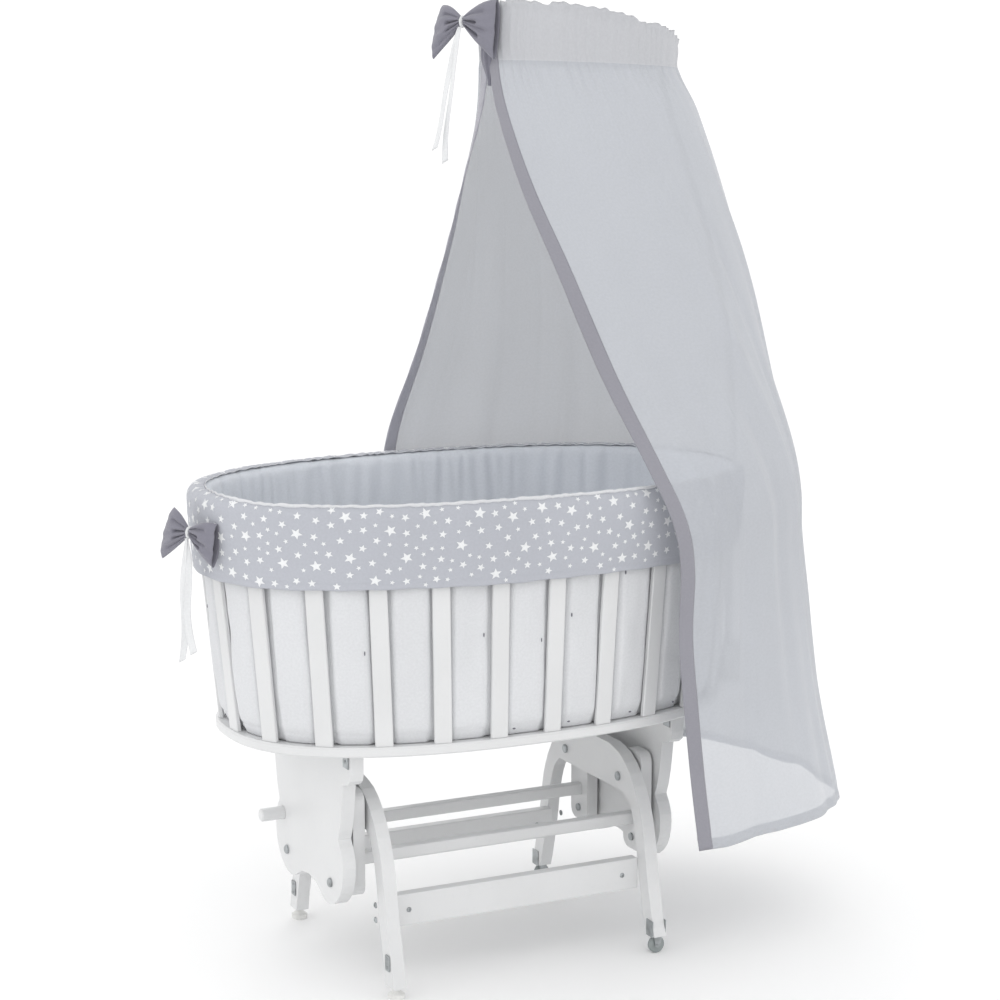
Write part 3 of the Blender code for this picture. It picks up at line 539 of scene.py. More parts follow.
def lathe(name, centre, axis, profile, material, body, steps=24):
    """A turned fitting: profile holds (distance along the axis, radius) from base to tip."""
    axis = Vector(axis).normalized()
    side = axis.orthogonal().normalized()
    other = axis.cross(side)
    bm = bmesh.new()
    rings = []
    for run, radius in profile:
        ring = []
        for k in range(steps):
            turn = 2.0 * math.pi * k / steps
            out = side * math.cos(turn) + other * math.sin(turn)
            ring.append(bm.verts.new(Vector(centre) + axis * run + out * radius))
        rings.append(ring)
    for low, high in zip(rings, rings[1:]):
        for k in range(steps):
            m = (k + 1) % steps
            bm.faces.new((low[k], low[m], high[m], high[k]))
    bm.faces.new(rings[0][::-1])
    bm.faces.new(rings[-1])
    bmesh.ops.recalc_face_normals(bm, faces=bm.faces[:])
    mesh = mesh_from(name, bm)
    mesh.shade_smooth()
    mesh.set_sharp_from_angle(angle=math.radians(40))
    return add_object(name, mesh, material, body)


def join_as(name, parts):
    """One piece from several like ones."""
    with bpy.context.temp_override(active_object=parts[0], selected_editable_objects=parts):
        bpy.ops.object.join()
    parts[0].name = name
    return parts[0]


# ------------------------------------------------------------------ operators
class CRIB_OT_stage(bpy.types.Operator):
    """Pale floor, soft studio light and the camera"""
    bl_idname = "crib.stage"
    bl_label = "Stage, light and camera"

    def execute(self, context):
        sizes, colours = context.scene.crib_sizes, context.scene.crib_colours
        scene = context.scene
        scene.view_settings.view_transform = "Standard"
        lens = bpy.data.cameras.new("studio camera")
        lens.lens = sizes.lens
        lens.sensor_width = 36.0
        lens.clip_end = 200.0
        camera = bpy.data.objects.new("studio camera", lens)
        scene.collection.objects.link(camera)
        camera.location = CAMERA_PLACE
        aim_at(camera, CAMERA_AIM)
        scene.camera = camera

        bm = bmesh.new()
        bmesh.ops.create_circle(bm, cap_ends=True, segments=96, radius=sizes.floor)
        mesh = mesh_from("studio floor", bm)
        floor = bpy.data.objects.new("studio_floor", mesh)
        scene.collection.objects.link(floor)
        mat, tree, surface = finish("studio pale floor", colours.floor, 0.9)
        place = own_place(tree)
        soft = cloud(tree, place, 0.8, 2.0)
        tree.links.new(blend_tone(tree, soft, shade(colours.floor, 0.992), colours.floor), surface.inputs["Base Color"])
        surface.inputs["Specular IOR Level"].default_value = 0.1
        mesh.materials.append(mat)

        world = bpy.data.worlds.new("studio air")
        scene.world = world
        world.use_nodes = True
        air = world.node_tree.nodes["Background"]
        air.inputs["Color"].default_value = (1.0, 1.0, 1.0, 1.0)
        air.inputs["Strength"].default_value = 1.08
        for box in SOFTBOXES:
            self.softbox(*box)
        return {"FINISHED"}

    def softbox(self, name, place, size, watts):
        data = bpy.data.lights.new(name, "AREA")
        data.shape = "DISK"
        data.size = size
        data.energy = watts
        lamp = bpy.data.objects.new(name, data)
        bpy.context.scene.collection.objects.link(lamp)
        lamp.location = place
        aim_at(lamp, LIGHT_AIM)


class CRIB_OT_woodwork(bpy.types.Operator):
    """Lacquer on every wooden part and small rounded edges"""
    bl_idname = "crib.woodwork"
    bl_label = "Stand and basket woodwork"

    def execute(self, context):
        done = 0
        for name, node in NODES.items():
            if any(key in name for key in WOODEN):
                repaint(node, "paint")
                edge = node.modifiers.new("eased edge", "BEVEL")
                edge.width = 0.0012
                edge.segments = 2
                edge.limit_method = "ANGLE"
                edge.angle_limit = math.radians(50)
                edge.harden_normals = True
                done += 1
        if not done:
            raise RuntimeError("no wooden part was found in the frame")
        return {"FINISHED"}


class CRIB_OT_fittings(bpy.types.Operator):
    """Metal, plastic and rubber finishes, and the small steel fixings"""
    bl_idname = "crib.fittings"
    bl_label = "Steel and plastic fittings"

    def execute(self, context):
        sizes = context.scene.crib_sizes
        for name, node in NODES.items():
            fits = [key for word, key in FITTINGS if word in name]
            if fits:
                repaint(node, fits[0])
        self.hanger_brackets(sizes)
        self.leg_plates(sizes)
        self.rail_bolts(sizes)
        return {"FINISHED"}

    def plate(self, name, low, high, body):
        """A small rounded steel plate between two corners."""
        bm = bmesh.new()
        bmesh.ops.create_cube(bm, size=1.0)
        low, high = Vector(low), Vector(high)
        span = high - low
        for v in bm.verts:
            v.co = Vector([low[k] + (v.co[k] + 0.5) * span[k] for k in range(3)])
        thin = min(range(3), key=lambda k: abs(span[k]))
        corner = [e for e in bm.edges if abs((e.verts[0].co - e.verts[1].co)[thin]) > abs(span[thin]) * 0.5]
        short = min(abs(span[k]) for k in range(3) if k != thin)
        bmesh.ops.bevel(bm, geom=corner, offset=short * 0.22, segments=4, affect="EDGES", profile=0.5)
        bmesh.ops.bevel(bm, geom=bm.edges[:], offset=abs(span[thin]) * 0.2, segments=1, affect="EDGES")
        bmesh.ops.recalc_face_normals(bm, faces=bm.faces[:])
        return add_object(name, mesh_from(name, bm), FINISH["steel"], body)

    def screw(self, name, centre, axis, radius, body):
        head = [(0.0, radius), (radius * 0.25, radius * 0.96), (radius * 0.48, radius * 0.72), (radius * 0.58, radius * 0.42)]
        head += [(radius * 0.58, radius * 0.30), (radius * 0.22, radius * 0.26)]
        return lathe(name, centre, axis, head, FINISH["steel"], body, 16)

    def hanger_brackets(self, sizes):
        """Angle brackets that hold each hanger panel to the base plate."""
        parts = []
        under = PLATE_LOW.z
        for tag in ("left", "right"):
            low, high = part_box("hanger_panel_" + tag)
            for face, way in ((low.x, -1), (high.x, 1)):
                for end in (-1, 1):
                    y = end * HANGER_BRACKET_Y
                    x = face + way * 0.0004
                    for near, far, foot in ((0.0, 0.0018, 0.0250), (0.0002, 0.0180, 0.0024)):
                        low_corner = (x + way * near, y - 0.010, under - foot)
                        high_corner = (x + way * far, y + 0.010, under - 0.0006)
                        parts.append(self.plate("leaf", low_corner, high_corner, "basket"))
                    for out, drop, axis in ((0.0016, 0.0155, (way, 0, 0)), (0.0110, 0.0022, (0, 0, -1))):
                        spot = (x + way * out, y, under - drop)
                        parts.append(self.screw("screw", spot, axis, sizes.screw, "basket"))
        join_as("hanger_brackets", parts)

    def leg_plates(self, sizes):
        """Steel plates on the left legs, just above each foot."""
        parts = []
        low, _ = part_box("arch_frame_left")
        x = low.x - 0.0004
        for end in (-1, 1):
            y = end * LEG_PLATE_Y
            parts.append(self.plate("plate", (x - 0.0016, y - 0.0085, 0.0440), (x, y + 0.0085, 0.0700), "stand"))
            for z in (0.0500, 0.0640):
                parts.append(self.screw("screw", (x - 0.0015, y, z), (-1, 0, 0), 0.0026, "stand"))
        join_as("leg_plates", parts)

    def rail_bolts(self, sizes):
        """Bolts through the legs into the rails, and the cross dowels on the rails."""
        parts = []
        for tag, way in (("left", -1), ("right", 1)):
            low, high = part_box("arch_frame_" + tag)
            face = low.x if way < 0 else high.x
            for end in (-1, 1):
                for z in (0.1130, 0.1370):
                    spot = (face + way * 0.0002, end * RAIL_BOLT_Y, z)
                    parts.append(self.screw("bolt", spot, (way, 0, 0), 0.0050, "stand"))
        for name in ("low_rail_front", "low_rail_rear"):
            if name in NODES:
                low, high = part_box(name)
                for x in (low.x + 0.030, high.x - 0.030):
                    spot = (x, low.y + 0.0002, (low.z + high.z) / 2.0)
                    parts.append(self.screw("dowel", spot, (0, -1, 0), 0.0042, "stand"))
        join_as("rail_bolts", parts)


class CRIB_OT_cover(bpy.types.Operator):
    """Inner liner, cloth between the slats, star band, its print and its piping"""
    bl_idname = "crib.cover"
    bl_label = "Liner and star band"

    def execute(self, context):
        sizes = context.scene.crib_sizes
        turns, self.girth = even_turns(0.464, 0.270, 2.3, RINGS)
        self.turns = turns
        self.places = np.arange(RINGS) / RINGS * self.girth
        _, self.section = at_run(COVER, [0.0])
        rows = smooth(COVER, 10)
        run = running(np.hypot(np.diff(rows[:, 0]), np.diff(rows[:, 3])))
        crest = run[int(np.argmax(rows[:, 3]))]
        # the seam lies outside the crest on the front side and inside it behind
        front = ease(-np.sin(turns), -0.25, 0.55)
        self.seam = crest - 0.0075 + (sizes.seam_shift + 0.0075) * front
        lining = self.lining(sizes)
        skirt = self.skirt(sizes)
        band, grid = self.band(sizes)
        stars = self.print_stars(sizes, grid)
        piping = self.piping(sizes, grid)
        ties = self.buttonholes(sizes)
        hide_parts("bed_liner")
        return {"FINISHED"}

    def grid_between(self, starts, ends, steps, table=COVER):
        """Rows that run along the section from one distance to another, column by column."""
        grid = np.zeros((steps, RINGS, 3))
        shares = np.linspace(0.0, 1.0, steps)
        for k, share in enumerate(shares):
            runs = starts + (ends - starts) * share
            rows, _ = at_run(table, runs)
            x, y = oval(rows[:, 0], rows[:, 1], rows[:, 2], self.turns)
            grid[k] = np.stack([x, y, rows[:, 3]], -1) + CRIB
        return grid

    def creases(self, sizes, grid, count, seed, depth, low, high, width=(0.004, 0.011)):
        """Vertical gathers: narrow hollows that lean a little and fade out downwards."""
        draw = random.Random(seed)
        places = self.places
        rise = np.clip((grid[:, :, 2] - low) / (high - low), 0.0, 1.0)
        total = np.zeros(grid.shape[:2])
        for k in range(count):
            centre = (k + draw.uniform(-0.42, 0.42)) / count * self.girth
            lean = draw.uniform(-0.030, 0.030)
            wide = draw.uniform(*width)
            deep = depth * draw.choice((0.35, 0.55, 0.8, 1.0)) * draw.uniform(0.8, 1.1)
            reach = draw.uniform(0.15, 0.95)
            away = places[None, :] - centre - lean * (1.0 - rise)
            away = (away + self.girth / 2.0) % self.girth - self.girth / 2.0
            fade = ease(rise, 1.0 - reach - 0.12, 1.0 - reach + 0.25)
            spread_out = wide * (1.0 + 1.6 * (1.0 - rise))
            beside = (away - 1.9 * spread_out) / (1.2 * spread_out)
            total += deep * fade * (np.exp(-(away / spread_out) ** 2) - 0.45 * np.exp(-beside ** 2))
        return total

    def lining(self, sizes):
        grid = self.grid_between(np.zeros(RINGS), self.seam + 0.0040, 64)
        side = facing(grid, True)
        rise = grid[:, :, 2]
        hollow = self.creases(sizes, grid, sizes.gathers, 11, sizes.gather_depth, 0.46, 0.775)
        over = ease(rise, 0.782, 0.770)
        hollow *= 0.25 + 0.75 * over
        sway = wander(grid, 9.0, 1) * 0.0022 * over * ease(rise, 0.413, 0.47)
        grid = grid - side * (hollow + 0.0012)[:, :, None] + side * sway[:, :, None]
        tuck = np.linspace(0.0, 1.0, len(grid))[:, None]
        front = ease(-np.sin(self.turns), -0.10, 0.30)[None, :]
        grid = grid - side * ((0.0003 + 0.0011 * front) * ease(tuck, 0.955, 0.99))[:, :, None]
        return cloth_piece("inner_liner", grid, FINISH["lining"], wrap=True, thick=0.0012)

    def skirt(self, sizes):
        runs = np.concatenate((np.linspace(0.0, 0.030, 12), np.linspace(0.036, 0.350, 52)))
        rows, _ = at_run(SKIRT, runs)
        grid = ring_sheet(rows[::-1], self.turns)
        side = facing(grid, True)
        rise = grid[:, :, 2]
        folds = self.creases(sizes, grid, 64, 23, 0.0032, 0.44, 0.76, (0.006, 0.016))
        pucker = self.creases(sizes, grid, 120, 29, 0.0016, 0.50, 0.413, (0.004, 0.008))
        body = wander(grid, 11.0, 5) * 0.0042 + wander(grid, 26.0, 6) * 0.0016
        ridged = (0.5 - np.abs(wander(grid * np.array([1.0, 1.0, 0.55]), 15.0, 8))) * 0.0042
        free = ease(rise, 0.432, 0.50) * ease(rise, 0.765, 0.70)
        line = -0.0011 * np.exp(-((rise - 0.4285) / 0.0018) ** 2)
        shift = np.clip((body + ridged - folds) * free - pucker * 0.6 * ease(rise, 0.416, 0.43) + line, -0.0052, 0.0034)
        # the padded wall billows out between the slats
        spaces = np.arange(RINGS) / RINGS * SLATS - SLAT_TURN
        away = np.abs(spaces - np.round(spaces)) * self.girth * 0.95 / SLATS
        billow = ease(away, 0.0150, 0.0240)[None, :] * (0.45 + 0.55 * ease(rise, 0.4125, 0.450)) * ease(rise, 0.760, 0.700)
        shift = shift * (0.45 + 0.55 * ease(away, 0.012, 0.022)[None, :]) + sizes.billow * billow
        shift = shift + sizes.padding * ease(rise, 0.4125, 0.440) * ease(rise, 0.760, 0.700)
        grid = grid + side * shift[:, :, None]
        self.wall, self.wall_side = grid, side
        return cloth_piece("slat_side_cloth", grid, FINISH["white_cloth"], wrap=True, thick=0.0010)

    def band(self, sizes):
        end = np.full(RINGS, self.section)
        grid = self.grid_between(self.seam - 0.0010, end, 58)
        side = facing(grid, True)
        share = np.linspace(0.0, 1.0, len(grid))[:, None]
        places = self.places[None, :]
        beat = wander_line(places[0], 16.0, 3)
        waves = np.sin(2.0 * np.pi * (places / 0.024 + 1.6 * beat))
        pucker = sizes.band_pucker * waves * np.exp(-share / 0.16)
        body = wander(grid, 7.0, 2) * 0.0024 * ease(share, 0.05, 0.4)
        pulls = wander(grid * np.array([1.0, 1.0, 0.4]), 22.0, 9) * 0.0008
        hem = -0.0009 * np.exp(-((share - 0.925) / 0.010) ** 2)
        grid = grid + side * (pucker + body + pulls + hem + 0.0006)[:, :, None]
        drop = (wander(grid, 6.0, 4) * 0.0026 + 0.0006 * np.sin(2 * np.pi * places / 0.071)) * ease(share, 0.6, 1.0)
        grid[:, :, 2] += drop
        # the hem is turned up inside
        last, before = grid[-1], side[-1]
        turned = [last - before * 0.0012 - np.array([0, 0, 0.0010]), last - before * 0.0026 + np.array([0, 0, 0.0006])]
        for step in range(1, 9):
            turned.append(grid[-1 - step] - side[-1 - step] * 0.0030)
        whole = np.concatenate([grid, np.array(turned)], 0)
        return cloth_piece("star_band", whole, FINISH["star_cloth"], wrap=True, thick=0.0008), grid

    def print_stars(self, sizes, grid):
        """Five-point stars in three sizes, laid on the band as thin flat prints."""
        draw = random.Random(41)
        side = facing(grid, True)
        high = len(grid)
        height = float(np.mean(self.section - self.seam))
        placed = []
        kinds = ((sizes.star_large, 2600, 0.030), (sizes.star_medium, 6000, 0.010), (sizes.star_small, 14000, 0.0065))
        for radius, tries, room in kinds:
            for _ in range(tries):
                s, w = draw.uniform(0.0, self.girth), draw.uniform(0.006, height - 0.004)
                clear = True
                for s2, w2, r2, same in placed:
                    away = abs(s - s2)
                    away = min(away, self.girth - away)
                    gap = room if same == radius else 0.0065
                    if math.hypot(away, w - w2) < radius + r2 + gap:
                        clear = False
                        break
                if clear:
                    placed.append((s, w, radius, radius))
        verts, faces = [], []
        for s, w, radius, _ in placed:
            spin = draw.uniform(0.0, 2.0 * math.pi)
            outline = []
            for k in range(10):
                reach = radius * (1.0 if k % 2 == 0 else 0.44)
                turn = spin + math.pi * k / 5.0
                outline.append((s + reach * math.cos(turn), w + reach * math.sin(turn)))
            if max(y for _, y in outline) > height - 0.001:
                continue
            base = len(verts)
            for lift in (0.00018, 0.00050):
                for x, y in [(s, w)] + outline:
                    row, column = y / height * (high - 1), x / self.girth * RINGS
                    spot = on_grid(grid, row, column, True)
                    out = on_grid(side, row, column, True)
                    verts.append((spot + out * lift).tolist())
            for k in range(10):
                m = (k + 1) % 10
                low_c, top_c = base, base + 11
                a, b = base + 1 + k, base + 1 + m
                faces.append((top_c, a + 11, b + 11))
                faces.append((low_c, b, a))
                faces.append((a, b, b + 11, a + 11))
        mesh = bpy.data.meshes.new("band_stars")
        mesh.from_pydata(verts, [], faces)
        return mend(add_object("band_stars", mesh, FINISH["star_print"], "basket"))

    def piping(self, sizes, grid):
        """Ruffled white piping along the seam."""
        line = grid[0] + facing(grid, True)[0] * 0.0004
        tangent = np.roll(line, -1, 0) - np.roll(line, 1, 0)
        tangent /= np.linalg.norm(tangent, axis=1, keepdims=True)
        up = facing(grid, True)[0]
        across = np.cross(tangent, up)
        places = self.places
        lumps = wander_line(places, 70.0, 12)
        slow = wander_line(places, 14.0, 13)
        radius = sizes.piping * (0.92 + 0.42 * lumps + 0.2 * slow) * (0.30 + 0.70 * ease(-np.sin(self.turns), -0.10, 0.30))
        rows = []
        for k in range(12):
            turn = 2.0 * math.pi * k / 12
            ring = (up * math.sin(turn) * 1.15 + across * math.cos(turn)) * radius[:, None]
            rows.append(line + ring + up * (0.0008 + 0.0009 * lumps[:, None]))
        rows.append(rows[0])
        tube = np.array(rows)[::-1]
        piece = cloth_piece("seam_piping", tube, FINISH["white_cloth"], wrap=True)
        return mend(piece, weld=True)

    def buttonholes(self, sizes):
        """Small stitched ties where the cloth is held beside the slats."""
        draw = random.Random(5)
        parts = []
        for k in range(SLATS):
            for level in (0, 1):
                if draw.random() < 0.45:
                    continue
                z = 0.4215 if level == 0 else draw.uniform(0.56, 0.66)
                gap = 0.5 + draw.uniform(-0.20, 0.20) if level == 0 else draw.choice((0.27, 0.73))
                column = ((k + SLAT_TURN + gap) / SLATS * RINGS) % RINGS
                near = int(column)
                rows = self.wall[::-1, near, 2] if self.wall[0, near, 2] > self.wall[-1, near, 2] else self.wall[:, near, 2]
                row = float(np.interp(z, rows, np.arange(len(rows))))
                if self.wall[0, near, 2] > self.wall[-1, near, 2]:
                    row = len(rows) - 1 - row
                spot = on_grid(self.wall, row, column, True)
                ahead = on_grid(self.wall, row, column + 0.5, True)
                along = Vector((float(ahead[0] - spot[0]), float(ahead[1] - spot[1]), 0.0)).normalized()
                out = Vector(on_grid(self.wall_side, row, column, True).tolist())
                out.z = 0.0
                out.normalize()
                centre = Vector(spot.tolist()) + out * 0.0004
                tall = 0.0015 if level == 0 else 0.0034
                wide = 0.0027 if level == 0 else 0.0013
                bm = bmesh.new()
                bmesh.ops.create_uvsphere(bm, u_segments=10, v_segments=6, radius=1.0)
                for v in bm.verts:
                    u, d, w = v.co
                    v.co = centre + along * u * wide + out * d * 0.0011 + Vector((0, 0, w * tall))
                mesh = mesh_from("tie", bm)
                mesh.shade_smooth()
                parts.append(add_object("tie", mesh, FINISH["stitch"], "basket"))
        return join_as("liner_ties", parts)


class CRIB_OT_mattress(bpy.types.Operator):
    """Thin mattress in a fitted cotton sheet"""
    bl_idname = "crib.mattress"
    bl_label = "Mattress"

    def execute(self, context):
        low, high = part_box("mattress")
        floor, top = low.z, high.z
        turns, _ = even_turns(0.390, 0.211, 2.4, 160)
        section = [(0.02, 0.0), (0.90, 0.0), (0.975, 0.004), (0.994, 0.013), (0.997, 0.022)]
        section += [(0.990, 0.032), (0.965, 0.040), (0.88, 0.0425), (0.02, 0.0425)]
        rows = []
        for reach, z in section:
            x, y = oval(0.3930 * reach, 0.2140 * reach, 2.4, turns)
            rows.append(np.stack([x, y, np.full_like(x, floor + 0.0012 + z)], -1))
        grid = np.array(rows) + CRIB
        mesh = bpy.data.meshes.new("mattress_pad")
        wide = grid.shape[1]
        verts = grid.reshape(-1, 3).tolist()
        faces = [(i * wide + j, i * wide + (j + 1) % wide, (i + 1) * wide + (j + 1) % wide, (i + 1) * wide + j)
                 for i in range(len(section) - 1) for j in range(wide)]
        faces += [tuple(range(wide))[::-1], tuple((len(section) - 1) * wide + j for j in range(wide))]
        mesh.from_pydata(verts, [], faces)
        pad = bpy.data.objects.new("mattress_pad", mesh)
        context.scene.collection.objects.link(pad)
        remesh = pad.modifiers.new("even skin", "REMESH")
        remesh.mode = "VOXEL"
        remesh.voxel_size = 0.0055
        self.bake_modifiers(pad)
        start = np.array([v.co for v in pad.data.vertices])
        cloth = pad.modifiers.new("pressed cover", "CLOTH")
        cloth.settings.use_pressure = True
        cloth.settings.uniform_pressure_force = 4.0
        cloth.settings.effector_weights.gravity = 0.0
        cloth.settings.quality = 5
        cloth.point_cache.frame_start, cloth.point_cache.frame_end = 1, 20
        for number in range(1, 21):
            context.scene.frame_set(number)
        self.bake_modifiers(pad)
        context.scene.frame_set(1)
        now = np.array([v.co for v in pad.data.vertices])
        move = now - start
        far = np.linalg.norm(move, axis=1, keepdims=True)
        move *= np.minimum(1.0, 0.006 / np.maximum(far, 1e-9))
        shape = start + move
        rel = shape - CRIB
        # wrinkles of the sheet round the edge, where its elastic gathers it
        reach = (np.abs(rel[:, 0] / 0.393) ** 2.4 + np.abs(rel[:, 1] / 0.214) ** 2.4) ** (1 / 2.4)
        around = np.arctan2(rel[:, 1] / 0.214, rel[:, 0] / 0.393)
        upper = ease(rel[:, 2], floor + 0.020, top)
        spots = [Vector((math.cos(a) * 26.0, math.sin(a) * 26.0, r * 2.0)) for a, r in zip(around, reach)]
        ripple = np.array([noise.noise(spot) for spot in spots])
        broad = np.array([noise.noise(Vector((x * 5.0, y * 5.0, 2.0))) for x, y in rel[:, :2].tolist()])
        shape[:, 2] += upper * (0.0016 * broad + 0.0022 * ripple * ease(reach, 0.60, 0.95))
        shape[:, 2] = np.clip(shape[:, 2], floor + 0.0003, top + 0.0015)
        pad.data.vertices.foreach_set("co", shape.reshape(-1).astype(np.float32))
        finer = pad.modifiers.new("smooth skin", "SUBSURF")
        finer.levels = finer.render_levels = 1
        self.bake_modifiers(pad)
        pad.data.shade_smooth()
        pad.data.materials.append(FINISH["sheet_cloth"])
        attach(pad, "basket")
        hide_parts("mattress")
        return {"FINISHED"}

    def bake_modifiers(self, piece):
        """Keep the shape that the modifiers give, and drop them."""
        scene = bpy.context.evaluated_depsgraph_get()
        mesh = bpy.data.meshes.new_from_object(piece.evaluated_get(scene), depsgraph=scene)
        piece.modifiers.clear()
        piece.data = mesh


class CRIB_OT_canopy(bpy.types.Operator):
    """Sheer canopy with its gathered casing, folds, hem and grey edge trims"""
    bl_idname = "crib.canopy"
    bl_label = "Canopy drape"

    def execute(self, context):
        sizes = context.scene.crib_sizes
        grid, outer = self.shape(sizes)
        drape = cloth_piece("canopy_voile", grid, FINISH["sheer"])
        first, count, doubled = outer
        # the casing and its ruffle are two layers of the cloth
        drape.data.materials.append(FINISH["casing"])
        for polygon in drape.data.polygons[:doubled * (DRAPE_COLUMNS - 1)]:
            polygon.material_index = 1
        face = grid[first:first + count]
        front = self.binding("front_edge_trim", face, sizes)
        rear = self.binding("rear_edge_trim", face[:, ::-1], sizes)
        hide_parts("canopy_drape")
        return {"FINISHED"}

    def level_row(self, level, f, inset=0.0):
        """Points of the shell at a level, from the front edge round to the rear edge."""
        cx, half, wide, n = between(SECTION, level)
        front, rear = between(FRONT_EDGE, level), between(REAR_EDGE, level)
        a0 = math.atan2(front[1] / wide, (front[0] - cx) / half)
        a1 = math.atan2(rear[1] / wide, (rear[0] - cx) / half)
        turn = a0 + (a1 - a0) * f
        x, y = oval(half - inset, wide - inset, n, turn)
        back = (np.cos(turn) + 1.0) / 2.0
        z = front[2] + (rear[2] - front[2]) * ease(f, 0.4, 1.0)
        row = np.stack([cx + x, y, z], -1)
        first, last = front - row[0], rear - row[-1]
        if inset == 0.0:
            row += first * (np.maximum(0.0, 1.0 - f / 0.3) ** 2)[:, None]
            row += last * (np.maximum(0.0, 1.0 - (1.0 - f) / 0.3) ** 2)[:, None]
        return row, back

    def shape(self, sizes):
        """The whole sheet: casing inside the hoop, ruffle, casing outside, skirt and turned hem."""
        f = np.linspace(0.0, 1.0, DRAPE_COLUMNS)
        top, back = self.level_row(0.0, f)
        crest = top[:, 2] - HEADER_DROP * back ** 1.6
        seam = 1.4500 - 0.0120 * back
        hoop = 1.4680 - 0.0120 * back
        draw = random.Random(17)
        rows = []
        centre = np.array([0.190, 0.0])

        def push(row, amount):
            out = row[:, :2] - centre
            row[:, :2] += out / np.linalg.norm(out, axis=1, keepdims=True) * amount

        def ring(inset, z):
            row = top.copy()
            push(row, -inset)
            row[:, 2] = z
            return row

        # inside of the casing, from the lower stitch line round the hoop to the upper one
        inner = ((0.0020, seam + 0.001), (0.0120, hoop - 0.0150), (0.0205, hoop - 0.0080))
        inner += ((0.0225, hoop), (0.0200, hoop + 0.0080))
        for inset, z in inner:
            rows.append(ring(inset, z))
        for share in (0.35, 0.7, 1.0):
            rows.append(ring(0.0150 - 0.0130 * share, hoop + 0.0080 + (crest - hoop - 0.0080) * share))
        # ruffle above it
        lift = sizes.ruffle
        wave = wander_line(f * 40.0, 1.0, 21)
        fine = wander_line(f * 110.0, 1.0, 22)
        for share, gap in ((0.5, 0.0014), (1.0, 0.0005), (1.0, -0.0005), (0.5, -0.0012)):
            row = ring(gap, crest + share * lift * (0.72 + 0.42 * wave + 0.18 * fine))
            sway = share * (0.0060 * fine + 0.0045 * wave)
            push(row, sway[:, None])
            rows.append(row)
        first = len(rows)
        # outside of the casing
        for share in np.linspace(0.0, 1.0, 10):
            low, _ = self.level_row(share, f)
            low[:, 2] = crest + (seam - crest) * share
            push(low, 0.0022 * math.sin(math.pi * share))
            rows.append(low)
        casing = len(rows) - first
        levels = np.concatenate([np.linspace(1.0, 2.0, 15)[1:], np.linspace(2.0, 11.0, 100)[1:]])
        for level in levels:
            row, _ = self.level_row(level, f)
            row[:, 2] += (seam - 1.4500) * max(0.0, 2.0 - level)
            rows.append(row)
        grid = np.array(rows) + CRIB
        face = grid[first:]
        side = facing(face, False)
        z = face[:, :, 2]
        run = running(np.linalg.norm(np.diff(face, axis=0), axis=2).mean(1))
        below = np.maximum(run - run[casing - 1], 0.0)[:, None]
        inside = (run <= run[casing - 1] + 1e-9)[:, None]
        # fine gathers held by the two rows of stitches
        phase = 58.0 * f + 1.6 * wander_line(f * 13.0, 1.0, 23)
        pleat = np.sin(2.0 * np.pi * phase) + 0.45 * np.sin(2.0 * np.pi * 1.9 * phase + 1.0)
        hold = np.where(inside, 0.0006, 0.0015 * np.exp(-below / 0.050) * ease(below, -0.004, 0.012))
        shift = pleat[None, :] * hold
        # long soft folds that fan out from the hoop
        total = run[-1] - run[casing - 1]
        share = below / total
        for k in range(26):
            place = (k + draw.uniform(0.1, 0.9)) / 26
            drift = draw.uniform(-0.050, 0.050)
            wide = draw.uniform(0.010, 0.022)
            deep = sizes.fold_depth * draw.uniform(0.25, 1.0) * (1 if k % 2 else -1)
            start, end = draw.uniform(0.0, 0.35), draw.uniform(0.75, 1.6)
            grow = ease(share, start, start + 0.30) * (1.0 - 0.75 * ease(share, end - 0.25, end))
            shift = shift + deep * grow * np.exp(-((f[None, :] - place - drift * share) / wide) ** 2)
        # thin pressed creases
        for k in range(22):
            place = (k + draw.uniform(0.0, 1.0)) / 22
            drift = draw.uniform(-0.10, 0.10)
            start = draw.uniform(0.02, 0.5)
            grow = ease(share, start, start + 0.08) * ease(share, start + draw.uniform(0.35, 0.6), start + 0.22)
            shift = shift + 0.0016 * grow * np.exp(-np.abs(f[None, :] - place - drift * share) / 0.0035)
        shift = shift + wander(face, 5.0, 31) * 0.0050 * ease(below, 0.02, 0.3)
        swing = np.sin(2.0 * np.pi * (7.0 * f + 0.9 * wander_line(f * 5.0, 1.0, 33)))
        shift = shift + 0.0048 * swing[None, :] * ease(share, 0.45, 1.0)
        # the two edges stay on their line, held by the binding
        rim = ease(np.minimum(f, 1.0 - f), 0.0, 0.035)[None, :]
        shift = np.clip(shift, -0.0105, 0.0105) * (0.25 + 0.75 * rim)
        line = -0.0008 * np.exp(-((run[-1] - run[:, None] - sizes.hem) / 0.0016) ** 2)
        grid[first:] = face + side * (shift + line)[:, :, None]
        # turned hem
        side = facing(grid[first:], False)
        hem = [grid[-1] - side[-1] * 0.0006 - np.array([0.0, 0.0, 0.0008])]
        hem_rows = max(2, int(round(sizes.hem / (run[-1] - run[-2]))))
        for step in range(0, hem_rows + 1):
            hem.append(grid[-1 - step] - side[-1 - step] * 0.0014)
        count = len(grid) - first
        return np.concatenate([grid, np.array(hem)], 0), (first, count, first + casing - 1)

